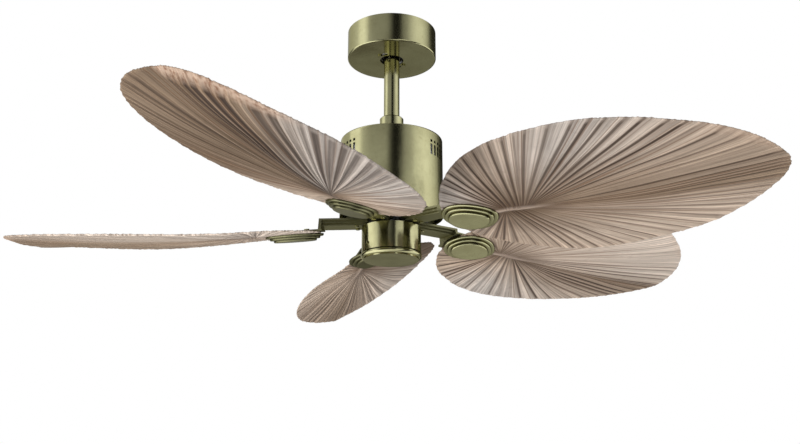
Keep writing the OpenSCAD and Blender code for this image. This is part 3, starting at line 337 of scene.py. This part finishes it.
def leaf_mat(number):
    """Dried palm leaf. The piece's own map holds the place around the leaf and the way out from the
    stem, and its own values hold how far each spot is from a crease. Its colour also holds painted
    light and shade: one flank of each fold lighter and the other darker, and painted shade along
    the creases."""
    p = Paint("palm_leaf_%d" % number)
    where = p.coord.outputs["Object"]
    around = p.xyz(p.coord.outputs["UV"])[0]
    count = p.math("MULTIPLY", around, float(FOLDS))
    crease, dark, fine, fine_dark, flank, rib, hem, way = [
        p.value(n) for n in ("crease", "dark", "fine", "fine_dark", "flank", "rib", "hem", "way")]

    def lane(across, along, shift):
        node = p.add("ShaderNodeCombineXYZ")
        p.put(node.inputs[0], p.math("MULTIPLY", count, across))
        p.put(node.inputs[1], p.math("MULTIPLY", way, along))
        node.inputs[2].default_value = number * shift
        return node.outputs[0]

    def times(a, b):
        return p.math("MULTIPLY", a, b)

    veins = p.noise(lane(6.0, 1.6, 9.3), 1.0, 5.0, 0.6)
    hairs = p.noise(lane(17.0, 1.1, 7.7), 1.0, 3.0, 0.55)
    patches = p.noise(lane(0.9, 3.0, 4.1), 1.0, 4.0, 0.6)
    mottle = p.noise(where, 60.0, 5.0, 0.65)
    streaky = number == STREAKY
    strong = 1.35 if streaky else 1.0
    far_flank, near_flank = (0.88, 1.1) if streaky else (0.80, 1.18)

    out = p.remap(way, 0.12, 0.72, 0.0, 1.0)
    colour = p.mix(out, tone_ramp(p, around, number, 2), tone_ramp(p, around, number, 1))
    shade = times(p.remap(patches, 0.3, 0.72, 0.88, 1.13),
                  p.remap(veins, 0.32, 0.7, 1 + 0.2 * strong, 1 - 0.3 * strong))
    shade = times(shade, p.remap(hairs, 0.34, 0.66, 1.13, 0.84))
    shade = times(shade, p.remap(mottle, 0.56, 0.8, 1.0, 0.8))
    # painted light and shade: one flank of each fold lighter, the other darker, as if lit from one side
    shade = times(shade, p.remap(flank, -1.0, 1.0, far_flank, near_flank))
    colour = p.scale(colour, shade)

    colour = p.mix(times(p.remap(fine, 0.5, 1.3, 1.0, 0.0), fine_dark), colour, FINE_LINE)
    # dark lines along the creases, with a softer halo: partly the leaf's own fold lines, partly painted
    # shade in the creases
    halo = times(p.remap(crease, 0.8, 3.2, 0.3 if streaky else 0.5, 0.0), dark)
    colour = p.mix(halo, colour, LINE_EDGE)
    core = times(p.remap(crease, 0.8, 1.6, 1.0, 0.0), dark)
    core = times(core, p.remap(way, 0.96, 0.99, 1.0, 0.5))
    colour = p.mix(core, colour, LINE_CORE)
    stem = times(p.remap(way, 0.03, 0.26, 0.95, 0.0), p.remap(crease, 0.0, 5.0, 1.0, 0.5))
    colour = p.mix(stem, colour, STEM)
    colour = p.mix(p.remap(way, 0.035, 0.085, 0.85, 0.0), colour, KNOT)
    colour = p.mix(times(rib, 0.8), colour, MIDRIB)
    hem_spots = p.remap(p.noise(lane(3.0, 60.0, 2.9), 1.0, 4.0), 0.45, 0.66, 0.0, 1.0)
    colour = p.mix(times(hem, 0.75), colour, p.mix(hem_spots, HEM_PALE, HEM_DARK))

    p.put(p.bsdf.inputs["Base Color"], colour)
    p.put(p.bsdf.inputs["Roughness"], p.remap(veins, 0.3, 0.7, 0.5, 0.72))
    p.bsdf.inputs["Specular IOR Level"].default_value = 0.25
    p.bump(p.blend(veins, 0.8, mottle), 0.3, 0.0006)
    return p.mat


SLOT_MATS = {
    "aged_brass": brass("aged_brass", True),
    "plated_steel": plain_metal("plated_steel", (0.50, 0.51, 0.52), 0.3),
    "ground_steel": plain_metal("ground_steel", (0.62, 0.62, 0.62), 0.2, 0.1),
    "core_steel": core_mat(),
    "winding_copper": copper_mat(),
    "magnet": plain_coat("magnet", (0.022, 0.022, 0.024), 0.55),
    "cast_aluminium": plain_metal("cast_aluminium", (0.50, 0.51, 0.52), 0.42),
    "dark_iron": plain_coat("dark_iron", (0.016, 0.016, 0.014), 0.36),
    "seat_nylon": plain_coat("seat_nylon", (0.02, 0.02, 0.02), 0.5),
    "receiver_case": plain_coat("receiver_case", (0.70, 0.68, 0.62), 0.5),
    "board": board_mat(),
    "capacitor_case": plain_coat("capacitor_case", (0.015, 0.015, 0.018), 0.4),
    "dried_palm_leaf": plain_coat("plain_palm_leaf", (0.46, 0.37, 0.30), 0.62, 240.0, 0.3),
}
flat_brass = brass("flat_brass", False, 0.2)
# painted shade: the arms get a darker copy of the same brass
shaded_arm_brass = brass("shaded_arm_brass", False, 0.4, 0.6)
slot_of = {s["node"]: s["material_slot"] for s in frame["record"]["subparts"]}
for name, node in NODES.items():
    paint = SLOT_MATS[slot_of[name]]
    if name.startswith("blade_arm"):
        paint = shaded_arm_brass
    elif "screws" in name and slot_of[name] == "aged_brass":
        paint = flat_brass
    node.data.materials.clear()
    node.data.materials.append(paint)

# ---------------------------------------------------------------- leaves
# a millimetre in metres
MM = 0.001
# height that the seats are measured from, where a leaf starts and where its bend starts
ARM_Z = -364.0
LEAF_START, LEAF_CENTRE = 118.0, 238.0
# the seat's turn about the blade's length, how it droops outwards, how far it sits below
SEAT_TILT, SEAT_DROOP, SEAT_DEPTH = 13.5, 3.5, 1.0
# where each leaf's folds meet, how much of the midrib they leave from, how wide its dark lines are
MIDRIBS = {
    1: (227.0, 44.0, 1.45),
    2: (224.0, 12.0, 2.3),
    3: (229.0, 30.0, 1.6),
    4: (229.0, 20.0, 1.7),
    5: (229.0, 34.0, 1.5),
}
# share of the folds that have a wide dark line
BOLD = {1: 0.86, 2: 0.5, 3: 0.5, 4: 0.55, 5: 0.55}
# how far the most ragged folds stop short of the edge
RAGGED = {1: 1.6, 2: 3.0, 3: 1.6, 4: 4.5, 5: 2.2}
# Sizes of each leaf, the same as in the part's source. They come from a fit to points read off the
# photograph, then rounded: tip, low half, high half, reach, fall, lift, low drop, high rise, twist,
# then how slender the low side's two ends and the high side's two ends are.
SHAPES = {
    1: (656, 151, 188, 17, 26, 33, 6, 12, -6.9, 0.44, 0.56, 0.60, 0.51),
    2: (647, 161, 157, 11, 7, 48, -11, 16, 0.0, 0.38, 0.59, 0.77, 0.53),
    3: (660, 166, 172, 19, 0, 30, -2, 1, -3.8, 0.46, 0.49, 0.59, 0.64),
    4: (658, 97, 152, 31, 6, 1, 5, 27, -0.9, 0.96, 0.47, 0.35, 0.95),
    5: (648, 157, 198, -18, -1, 27, -5, 16, -5.1, 0.46, 0.67, 0.67, 0.62),
}
# where an edge curls: from and to around the leaf, how far
CURLS = {
    1: (0.50, 0.62, 3.0),
    2: (0.32, 0.53, 8.0),
    3: (0.40, 0.60, 6.0),
    4: (0.42, 0.5, 2.0),
    5: (0.60, 0.7, 2.0),
}
# broad hollows and swellings: middle around the leaf, half width, height
HOLLOWS = {
    1: [(0.33, 0.06, 4.0), (0.47, 0.03, -3.0)],
    2: [(0.43, 0.035, -5.0), (0.62, 0.08, 4.0)],
    3: [(0.3, 0.05, 3.0)],
    4: [(0.36, 0.06, 3.0)],
    5: [(0.44, 0.03, 6.0), (0.36, 0.03, -4.0)],
}
# the folds stop this far inside the edge, and spread out from a knot that takes this share of the way
RIM_INSET = 2.0
KNOT_SHARE = 0.045
# out of the whole way over a leaf's face, the share before its edge rolls round
FACE_SHARE = 0.9
# the part that stays flat between the metal plates: an oval, then a pad on the arm's end
OVAL_MIDDLE, OVAL_LONG, OVAL_WIDE = 160, 51, 43
PAD_END, PAD_WIDE, PAD_EASE = 176, 29, 30
# the raised midrib: its width, where it starts and where it fades
RIB_WIDE, RIB_START, RIB_FADE = 3.6, (200, 216), (255, 330)
# half the leaf's thickness: its face, what its seat adds, its hem
THIN, SEAT_EXTRA, HEM = 0.55, 0.95, 1.3
# small waves round the hem
PUCKERS = 190
# how far from the middle line a leaf starts to bend at its sides, and over how much
SIDE_START, SIDE_SPAN = 56, 130


def swell(t, width, root, tip):
    """Half the width of a leaf shape at t, from 0 at its root to 1 at its tip."""
    middle = root / (root + tip)
    t = np.clip(t, 1e-9, 1 - 1e-9)
    return width * (t / middle) ** root * ((1 - t) / (1 - middle)) ** tip


def smooth(x, a, b):
    """0 up to a, 1 from b on, and an even curve between them."""
    k = np.clip((x - a) / (b - a), 0.0, 1.0)
    return k * k * (3 - 2 * k)


def set_values(mesh, label, values):
    """Gives each of a mesh's points its own value, which a material can read by this label."""
    column = mesh.attributes.new(label, "FLOAT", "POINT")
    column.data.foreach_set("value", np.asarray(values).astype(np.float32))


def blade_turn(number):
    """The way that a blade points, seen from above."""
    return math.radians(-40.0 - 72.0 * (number - 1))


def leaf_rim(number, around):
    """The leaf's edge at a place around it, in its own plane."""
    tip_r, low_half, high_half, reach = SHAPES[number][:4]
    low_root, low_tip, high_root, high_tip = SHAPES[number][9:]
    half = np.where(around < 0.5, around * 2, (1 - around) * 2)
    t = (1 - np.cos(math.pi * half)) / 2
    middle = -reach * t ** 3
    v = np.where(around < 0.5, middle + swell(t, low_half, low_root, low_tip),
                 middle - swell(t, high_half, high_root, high_tip))
    return LEAF_START + (tip_r - LEAF_START) * t, v


def fold_lead(number, rim_u, rim_v):
    """The way from where the folds meet to the edge, and how far along the midrib a fold starts."""
    stem, costa = MIDRIBS[number][:2]
    away = np.hypot(rim_u - stem, rim_v)
    return away, costa * smooth((rim_u - stem) / away, -0.1, 1.0)


def fold_line(number, around, share):
    """A spot on the straight line that a fold follows from the midrib to the edge."""
    stem = MIDRIBS[number][0]
    rim_u, rim_v = leaf_rim(number, around)
    away, lead = fold_lead(number, rim_u, rim_v)
    k = np.clip((share - KNOT_SHARE) / (1 - KNOT_SHARE), 0, 1)
    near = np.clip(share / KNOT_SHARE, 0, 1)
    inset = 1 - RIM_INSET / away
    u = stem + lead * near + (rim_u - stem - lead) * k * inset
    v = rim_v * k * inset + np.tanh(rim_v / 20) * 0.5 * near * (1 - k)
    return u, v


def leaf_grid(number):
    """A flat grid that a leaf is wrapped from, with each spot's column and its row from 0 to 1."""
    columns = FOLDS * STEPS
    bpy.ops.object.select_all(action="DESELECT")
    bpy.ops.mesh.primitive_grid_add(x_subdivisions=columns, y_subdivisions=RINGS, size=2.0)
    leaf = bpy.context.object
    leaf.name = "palm_leaf_%d" % number
    co = np.empty(len(leaf.data.vertices) * 3)
    leaf.data.vertices.foreach_get("co", co)
    co = co.reshape(-1, 3)
    column = np.round((co[:, 0] + 1) / 2 * columns).astype(int) % columns
    row = np.round((co[:, 1] + 1) / 2 * RINGS) / RINGS
    return leaf, column, row


def place_spots(number, rng, column, row):
    """Where each spot lies: in which uneven fold, around the leaf, and out from the stem."""
    s = SimpleNamespace()
    widths = 1.0 + 0.42 * (rng.rand(FOLDS) - 0.5) * 2
    s.edges = np.concatenate([[0.0], np.cumsum(widths)]) / widths.sum()
    turn_at = rng.randint(int(STEPS * 0.3), int(STEPS * 0.7), FOLDS)
    s.first_fine = rng.randint(int(STEPS * 0.2), int(STEPS * 0.4), FOLDS)
    s.last_fine = rng.randint(int(STEPS * 0.6), int(STEPS * 0.85), FOLDS)
    deep = 0.7 + 0.6 * rng.rand(FOLDS)
    s.fold = column // STEPS
    s.step = column % STEPS
    s.part = s.step / STEPS
    s.deep = deep[s.fold]
    s.around = s.edges[s.fold] + (s.edges[s.fold + 1] - s.edges[s.fold]) * s.part
    s.lean = turn_at[s.fold] / STEPS
    s.wave = 1 - 2 * np.where(s.part < s.lean, s.part / s.lean, (1 - s.part) / (1 - s.lean))

    out = 1 - np.abs(row * 2 - 1)
    s.face = np.where(row > 0.5, 1.0, -1.0)
    face_out = np.minimum(out / FACE_SHARE, 1.0)
    s.share = 0.4 * face_out + 0.6 * smooth(face_out, 0.0, 1.0)
    s.roll = np.clip((out - FACE_SHARE) / (1 - FACE_SHARE), 0.0, 1.0)
    s.u, s.v = fold_line(number, s.around, s.share)
    s.rim_u, s.rim_v = leaf_rim(number, s.around)
    return s


def draw_lines(number, rng, s):
    """How far each spot is from its fold's lines, how dark they are, and which flank of each fold is
    painted lighter and which darker, as painted light and shade.
    """
    u0, v0 = fold_line(number, s.edges[s.fold], s.share)
    u1, v1 = fold_line(number, s.edges[s.fold + 1] % 1.0, s.share)
    stem, line_width = MIDRIBS[number][0], MIDRIBS[number][2]
    s.line_u = s.rim_u - stem - fold_lead(number, s.rim_u, s.rim_v)[1]
    s.line_v = s.rim_v
    s.line = np.hypot(s.line_u, s.line_v)
    s.spacing = np.abs((u1 - u0) * s.line_v - (v1 - v0) * s.line_u) / s.line
    s.nearest = np.where(s.part < 0.5, s.fold, (s.fold + 1) % FOLDS)
    from_edge = np.minimum(s.part, 1 - s.part)

    bold = rng.rand(FOLDS) < BOLD[number]
    wide = np.where(bold, 1.6 if number == STREAKY else 1.05, 0.85)[s.nearest]
    s.crease = from_edge * s.spacing / (np.minimum(line_width, 0.15 * s.spacing) * wide + 0.12)
    from_first = np.abs(s.step - s.first_fine[s.fold])
    from_last = np.abs(s.step - s.last_fine[s.fold])
    s.fine_at = np.minimum(from_first, from_last) / STEPS
    s.fine = s.fine_at * s.spacing / (np.minimum(0.6 * line_width, 0.1 * s.spacing) + 0.1)

    places = [t[0] for t in TONES[number]]
    depths = [t[3] for t in TONES[number]]
    line_dark = np.interp(s.edges[:FOLDS], places, depths, period=1.0)
    line_dark = line_dark * np.where(bold, 0.85 + 0.4 * rng.rand(FOLDS), 0.2 + 0.7 * rng.rand(FOLDS))
    s.dark = np.clip(line_dark, 0, 1)[s.nearest]
    fine_strength = rng.rand(FOLDS * 2) ** 1.6 * 0.75
    second = s.step > (s.first_fine + s.last_fine)[s.fold] / 2
    s.fine_dark = fine_strength[s.fold * 2 + second]
    # painted light and shade: which flank of each fold is painted lighter, by the side the light comes from
    lit_side = 1 if number in (1, 4, 5) else -1
    s.flank = np.where(s.part < s.lean, 1.0, -1.0) * np.where(from_edge < 0.01, 0.0, 1.0)
    s.flank = s.flank * s.deep * 0.8 * lit_side


def fray_edge(number, rng, s):
    """Lets the folds stop short of the edge, some more than others, except at the root."""
    uneven = 0.35 * (s.wave + 1) / 2 + 0.65 * rng.rand(FOLDS)[s.nearest] ** 2
    short = RAGGED[number] * uneven * smooth(s.share, 0.9, 1.0)
    short = short * np.where((s.around > 0.02) & (s.around < 0.98), 1.0, 0.0)
    s.u = s.u - short * s.line_u / s.line
    s.v = s.v - short * s.line_v / s.line


def raise_folds(number, rng, s):
    """Height of the folds, hollows and curl, kept off the seat of the metal plates."""
    share, around, u, v = s.share, s.around, s.u, s.v
    seat = np.hypot((u - OVAL_MIDDLE) / OVAL_LONG, v / OVAL_WIDE)
    pad = np.hypot(np.maximum(u - PAD_END, 0), np.maximum(np.abs(v) - PAD_WIDE, 0)) / PAD_EASE
    s.clear = smooth(np.minimum(seat - 1, pad), 0.0, 0.45)
    depth = np.minimum(0.14 * s.spacing, 1.8) * s.deep * s.clear * (1 - 0.8 * smooth(share, 0.45, 1.0))
    near_fine = np.maximum(0, 1 - s.fine_at * STEPS / 2.0)
    fine_wave = near_fine * np.minimum(0.05 * s.spacing, 0.6) * s.clear
    drift = np.zeros(len(u))
    for k in range(7):
        a, b, c = rng.uniform(0.008, 0.03), rng.uniform(0.008, 0.03), rng.uniform(0, 6.3)
        drift += np.sin(u * a + v * b * (1 if k % 2 else -1) + c)
    s.bend = s.wave * depth + fine_wave + drift * 0.4 * s.clear * smooth(share, 0.2, 0.9)
    on_face = smooth(share, 0.1, 0.5) * (1 - smooth(share, 0.5, 1.0)) * s.clear
    for place, wide, height in HOLLOWS[number]:
        s.bend += height * np.exp(-((around - place) / wide) ** 2) * on_face
    begin, end, curl = CURLS[number]
    curl_here = smooth(around, begin, begin * 0.4 + end * 0.6) * (1 - smooth(around, end - 0.04, end))
    s.bend -= curl * curl_here * (smooth(share, 0.6, 0.955) - smooth(share, 0.96, 1.0))
    s.hem = smooth(curl_here, 0.05, 0.5) * smooth(share, 0.97, 0.984) * min(1.0, curl / 8)
    s.rib = np.exp(-(v / RIB_WIDE) ** 2) * smooth(u, *RIB_START) * (1 - smooth(u, *RIB_FADE))
    s.rib = s.rib * (0.3 if number == STREAKY else 1.0)


def thicken(number, s):
    """Parts the two faces and rolls the edge round between them."""
    swing = 9 * np.sin(s.around * 2 * math.pi * 7 + number)
    pucker = np.sin(s.around * 2 * math.pi * PUCKERS + swing) * 0.15
    thin = THIN + SEAT_EXTRA * (1 - s.clear)
    thick = thin + (HEM - thin + pucker) * smooth(s.share, 0.97, 1.0)
    angle = s.roll * math.pi / 2
    away = np.hypot(s.rim_u - LEAF_CENTRE, s.rim_v)
    s.u = s.u + (s.rim_u - LEAF_CENTRE) / away * thick * np.sin(angle)
    s.v = s.v + s.rim_v / away * thick * np.sin(angle)
    s.off = s.face * thick * np.cos(angle) + np.where(s.face < 0, -2.0 * s.rib, 0.0)


def seat_points(number, s):
    """Bends the leaf as a whole and puts it into its tilted, drooping seat, in metres."""
    tip_r = SHAPES[number][0]
    fall, lift, low_drop, high_rise, twist = SHAPES[number][4:9]
    past = np.clip((s.u - LEAF_CENTRE) / (tip_r - LEAF_CENTRE), 0, None)
    aside = np.clip((np.abs(s.v) - SIDE_START) / SIDE_SPAN, 0, None)
    height = -fall * past + lift * past ** 2 + np.where(s.v > 0, -low_drop, high_rise) * aside ** 2
    tilt = np.radians(SEAT_TILT + twist * past)
    rise = height + s.bend + s.off
    y = s.v * np.cos(tilt) + rise * np.sin(tilt)
    z = rise * np.cos(tilt) - s.v * np.sin(tilt)
    d = math.radians(SEAT_DROOP)
    x = LEAF_START + (s.u - LEAF_START) * math.cos(d) + z * math.sin(d)
    z = z * math.cos(d) - (s.u - LEAF_START) * math.sin(d) - SEAT_DEPTH
    a = blade_turn(number)
    turned = (x * math.cos(a) - y * math.sin(a), x * math.sin(a) + y * math.cos(a), z + ARM_Z)
    return np.stack(turned, 1) * MM


def make_leaf(number):
    rng = np.random.RandomState(40 + number)
    leaf, column, row = leaf_grid(number)
    s = place_spots(number, rng, column, row)
    draw_lines(number, rng, s)
    fray_edge(number, rng, s)
    raise_folds(number, rng, s)
    thicken(number, s)
    mesh = leaf.data
    mesh.vertices.foreach_set("co", seat_points(number, s).ravel())
    for label, values in (("crease", s.crease), ("dark", s.dark), ("fine", s.fine),
                          ("fine_dark", s.fine_dark), ("flank", s.flank), ("rib", s.rib),
                          ("hem", s.hem), ("way", s.share)):
        set_values(mesh, label, values)
    mesh.update()

    bpy.ops.object.mode_set(mode="EDIT")
    bpy.ops.mesh.select_all(action="SELECT")
    bpy.ops.mesh.remove_doubles(threshold=0.000002)
    bpy.ops.mesh.normals_make_consistent(inside=False)
    bpy.ops.object.mode_set(mode="OBJECT")
    bpy.ops.object.shade_smooth()
    mesh.materials.append(leaf_mat(number))
    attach(leaf, "rotor")
    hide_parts("blade_leaf_%d" % number)


for number in LEAVES:
    make_leaf(number)


# ---------------------------------------------------------------- medallions
# the plate in the seat's frame: where it starts, its length, half its width, how slender its two
# ends are, its top, and the corners of its outline
PLATE_START, PLATE_LENGTH, PLATE_HALF = 114.0, 98.0, 40.0
PLATE_ROOT, PLATE_TIP = 0.5, 0.62
PLATE_TOP = -1.6
PLATE_SIDES = 128
PLATE_MIDDLE = 0.47
TIERS = 3
TIER_DROP = 1.9
ROUND_IN, ROUND_DOWN = 2.2, 1.8
GROOVE_SIDE = 1.26


def plate_half(t):
    """Half the plate's width at t, from 0 at its root to 1 at its tip."""
    if t <= 1e-6 or t >= 1 - 1e-6:
        return 0.0
    return float(swell(t, PLATE_HALF, PLATE_ROOT, PLATE_TIP))


def plate_steps():
    """The plate's rings in turn: how far in, how far down, and how much painted shade darkens the ring."""
    steps = []
    for tier in range(TIERS):
        steps.append((0.001, TIER_DROP, 0.45))
        for k in range(6):
            a0, a1 = math.radians(15 * k), math.radians(15 * (k + 1))
            inset = ROUND_IN * (math.cos(a0) - math.cos(a1))
            steps.append((inset, ROUND_DOWN * (math.sin(a1) - math.sin(a0)), 0.0))
        if tier < TIERS - 1:
            steps += [(0.5, 0.0, 0.35), (2.4, 0.0, 0.5)]
            for k in range(3):
                a0, a1 = math.radians(30 * k), math.radians(30 * (k + 1))
                steps.append((GROOVE_SIDE * (math.sin(a1) - math.sin(a0)), 0.0, 0.5 + (k + 1) / 6))
        else:
            steps += [(3.0, 0.0, 0.0), (6.0, -0.25, 0.0)]
    return steps


def make_medallion():
    """A stepped oval cover, modelled in the seat's frame."""
    bpy.ops.object.select_all(action="DESELECT")
    bpy.ops.mesh.primitive_circle_add(vertices=PLATE_SIDES, radius=1.0, fill_type="NGON")
    plate = bpy.context.object
    mesh = plate.data
    for v in mesh.vertices:
        t = (1 + math.cos(math.atan2(v.co.y, v.co.x))) / 2
        along = PLATE_START + PLATE_LENGTH * t
        v.co = (along * MM, math.copysign(plate_half(t), v.co.y) * MM, PLATE_TOP * MM)
    bpy.ops.object.mode_set(mode="EDIT")
    bpy.ops.mesh.select_all(action="SELECT")
    middle = ((PLATE_START + PLATE_LENGTH * PLATE_MIDDLE) * MM, 0.0, 0.0)
    long, wide = PLATE_LENGTH / 2, PLATE_HALF
    # painted shadow where the plate meets the leaf, then painted shade ring by ring; the rounded edges stay
    # bright
    ring_shades = [0.8]
    for inset, down, ring_shade in plate_steps():
        ring_shades.append(ring_shade)
        bpy.ops.mesh.extrude_region_move(TRANSFORM_OT_translate={"value": (0, 0, -down * MM)})
        shrink = ((long - inset) / long, (wide - inset) / wide, 1.0)
        bpy.ops.transform.resize(value=shrink, center_override=middle)
        long -= inset
        wide -= inset
    bpy.ops.mesh.select_all(action="SELECT")
    bpy.ops.mesh.normals_make_consistent(inside=False)
    bpy.ops.object.mode_set(mode="OBJECT")
    bpy.ops.object.shade_smooth_by_angle(angle=math.radians(32))
    set_values(mesh, "ring_shade", np.repeat(ring_shades, PLATE_SIDES))
    return plate


def seat_matrix(number):
    place = Matrix.Rotation(blade_turn(number), 4, "Z") @ Matrix.Translation((0, 0, ARM_Z * MM))
    droop = (Matrix.Translation((LEAF_START * MM, 0, -SEAT_DEPTH * MM))
             @ Matrix.Rotation(math.radians(SEAT_DROOP), 4, "Y")
             @ Matrix.Translation((-LEAF_START * MM, 0, 0)))
    return place @ droop @ Matrix.Rotation(math.radians(-SEAT_TILT), 4, "X")


# painted shade: medallions 2, 3 and 4 get darker copies of the same brass, 4 the darkest; 1 and 5 keep the
# plain one
half_shade_brass = brass("half_shade_brass", False, 0.3, 0.55)
shaded_brass = brass("shaded_brass", False, 0.34, 0.4)
MEDALLION_MATS = {1: flat_brass, 2: half_shade_brass, 3: half_shade_brass, 4: shaded_brass, 5: flat_brass}
pattern = make_medallion()
for number in LEAVES:
    copy = pattern.copy()
    copy.data = pattern.data.copy()
    copy.name = "medallion_%d" % number
    bpy.context.collection.objects.link(copy)
    copy.data.transform(seat_matrix(number))
    copy.data.materials.append(MEDALLION_MATS[number])
    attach(copy, "rotor")
    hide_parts("blade_medallion_%d" % number)
bpy.data.objects.remove(pattern)


# ---------------------------------------------------------------- light and surroundings
ROOM_MIDDLE = (0, 0, -0.3)
ROOM_RADIUS = 5.0
# the brightest band, which the ramps' values are shares of
PEAK = 3.5
# brightness round the fan in degrees: what the cup, the housing, the lip and the canopy each mirror
CUP_BANDS = [(-180, 0.05), (-168, 0.7), (-150, 0.7), (-143, 0.05), (-112, 0.05), (-106, 3.3), (-60, 3.3),
             (-52, 1.6), (-45, 0.1), (-40, 0.02), (-8, 0.02), (-3, 0.2), (4, 0.2), (10, 0.02), (15, 0.3),
             (18, 2.3), (43, 2.3), (48, 0.06), (72, 0.06), (78, 2.6), (122, 2.7), (130, 0.05), (165, 0.02),
             (180, 0.05)]
HOUSING_BANDS = [(-180, 0.10), (-163, 0.14), (-156, 1.0), (-108, 1.15), (-103, 2.95), (-76, 2.7),
                 (-72, 1.7), (-66, 1.0), (-12, 0.97), (-6, 0.5), (-1, 0.13), (4, 0.02), (21, 0.02),
                 (26, 0.5), (32, 0.8), (42, 1.05), (48, 1.55), (54, 2.0), (64, 2.28), (76, 2.4), (88, 2.3),
                 (100, 1.9), (110, 1.42), (119, 0.95), (128, 0.3), (140, 0.08), (160, 0.05), (180, 0.05)]
LIP_BANDS = [(-180, 1.0), (-135, 2.0), (-118, 3.4), (-50, 3.4), (-38, 1.9), (20, 1.7), (35, 1.9), (45, 0.3),
             (70, 0.3), (80, 2.2), (120, 2.2), (130, 0.2), (180, 0.2)]
CANOPY_BANDS = [(-180, 0.10), (-163, 0.5), (-120, 1.25), (-102, 1.5), (-91, 2.35), (-76, 2.5),
                (-68, 2.0), (-60, 1.0), (-50, 0.78), (-14, 0.65), (-8, 0.52), (-2, 0.28), (5, 0.04),
                (17, 0.03), (23, 0.12), (28, 0.45), (38, 0.72), (46, 1.1), (56, 1.6), (70, 2.0),
                (84, 2.0), (94, 1.65), (107, 1.0), (117, 0.25), (128, 0.05), (180, 0.05)]
BELOW_NEAR, BELOW_FAR = (0.45, 0.45, 0.44), (0.95, 0.95, 0.95)
# heights, as shares of the room's radius, between which one set of bands gives way to the next
CUP_TO_HOUSING = (0.255, 0.28)
HOUSING_TO_CANOPY = (0.39, 0.43)
SIDES_TO_LIP = (-0.25, -0.2)
NEAR_TO_FAR = (-0.46, -0.54)
# the lip's bands end between these turns from the back, and only what lies below is left
LIP_END = (math.radians(115), math.radians(135))


def bands_mat():
    """Bands of light that only the metal mirrors."""
    p = Paint("reflection_bands")
    p.tree.nodes.remove(p.bsdf)
    x, y, z = p.xyz(p.coord.outputs["Object"])
    # turn from behind the camera, positive to the right
    turn = p.math("ARCTAN2", x, p.math("MULTIPLY", y, -1.0))
    share = p.math("ADD", p.math("DIVIDE", turn, 2 * math.pi), 0.5)
    tall = p.math("DIVIDE", z, ROOM_RADIUS)

    def band_ramp(bands):
        return p.ramp(share, [((d + 180) / 360, (light / PEAK,) * 3) for d, light in bands])

    def change(value, limits):
        return p.remap(value, *limits, 0.0, 1.0)

    look = p.mix(change(tall, CUP_TO_HOUSING), band_ramp(CUP_BANDS), band_ramp(HOUSING_BANDS))
    look = p.mix(change(tall, HOUSING_TO_CANOPY), look, band_ramp(CANOPY_BANDS))
    near, far = [tuple(light / PEAK for light in base) for base in (BELOW_NEAR, BELOW_FAR)]
    below = p.mix(change(tall, NEAR_TO_FAR), near, far)
    under = p.mix(change(p.math("ABSOLUTE", turn), LIP_END), band_ramp(LIP_BANDS), below)
    look = p.mix(change(tall, SIDES_TO_LIP), under, look)
    glow = p.add("ShaderNodeEmission")
    p.put(glow.inputs[0], look)
    glow.inputs[1].default_value = PEAK
    p.tree.links.new(glow.outputs[0], p.out.inputs[0])
    return p.mat


def make_surround():
    bpy.ops.object.select_all(action="DESELECT")
    bpy.ops.mesh.primitive_uv_sphere_add(segments=64, ring_count=32, radius=ROOM_RADIUS,
                                         location=ROOM_MIDDLE)
    surround = bpy.context.object
    surround.name = "reflection_surround"
    bpy.ops.object.shade_smooth()
    surround.data.materials.append(bands_mat())
    for rays in ("camera", "diffuse", "transmission", "shadow", "volume_scatter"):
        setattr(surround, "visible_" + rays, False)


def make_floor():
    """A pale floor that holds the fan's soft shadow."""
    bpy.ops.mesh.primitive_plane_add(size=16.0, location=(0, 0, -2.4))
    floor = bpy.context.object
    floor.name = "pale_floor"
    p = Paint("pale_floor")
    cloud = p.noise(p.coord.outputs["Object"], 3.0)
    p.put(p.bsdf.inputs["Base Color"], p.mix(cloud, (0.80, 0.80, 0.79), (0.84, 0.84, 0.83)))
    p.bsdf.inputs["Roughness"].default_value = 0.9
    p.bsdf.inputs["Emission Color"].default_value = (1, 1, 1, 1)
    from_camera = p.add("ShaderNodeLightPath").outputs["Is Camera Ray"]
    p.put(p.bsdf.inputs["Emission Strength"], p.math("MULTIPLY", from_camera, 0.4))
    floor.data.materials.append(p.mat)
    floor.visible_glossy = False


def make_world():
    """White for the camera, for what mirrors and for what is seen through; softer as a light."""
    world = bpy.data.worlds.new("white_room")
    bpy.context.scene.world = world
    world.use_nodes = True
    tree = world.node_tree
    tree.nodes.clear()
    path = tree.nodes.new("ShaderNodeLightPath")
    direct = path.outputs["Is Camera Ray"]
    for rays in ("Is Glossy Ray", "Is Transmission Ray"):
        either = tree.nodes.new("ShaderNodeMath")
        either.operation = "ADD"
        either.use_clamp = True
        tree.links.new(direct, either.inputs[0])
        tree.links.new(path.outputs[rays], either.inputs[1])
        direct = either.outputs[0]
    both = tree.nodes.new("ShaderNodeMixShader")
    tree.links.new(direct, both.inputs[0])
    for place, strength in ((1, 0.4), (2, 1.0)):
        light = tree.nodes.new("ShaderNodeBackground")
        light.inputs[0].default_value = (1, 1, 1, 1)
        light.inputs[1].default_value = strength
        tree.links.new(light.outputs[0], both.inputs[place])
    end = tree.nodes.new("ShaderNodeOutputWorld")
    tree.links.new(both.outputs[0], end.inputs[0])


FAN_MIDDLE = Vector((0.1, 0, -0.35))


def soft_light(name, place, size, power, colour):
    """A square lamp that is aimed at the fan and isn't mirrored in it."""
    bpy.ops.object.light_add(type="AREA", location=place)
    lamp = bpy.context.object
    lamp.name = name
    lamp.data.shape = "SQUARE"
    lamp.data.size = size
    lamp.data.energy = power
    lamp.data.color = colour
    lamp.rotation_euler = (FAN_MIDDLE - Vector(place)).to_track_quat("-Z", "Y").to_euler()
    lamp.visible_glossy = False


make_surround()
make_floor()
make_world()
soft_light("front_left_light", (-2.2, -2.0, -1.7), 1.2, 78.0, (1.0, 0.985, 0.96))
soft_light("front_right_light", (2.4, -1.6, -1.2), 1.4, 30.0, (0.97, 0.985, 1.0))
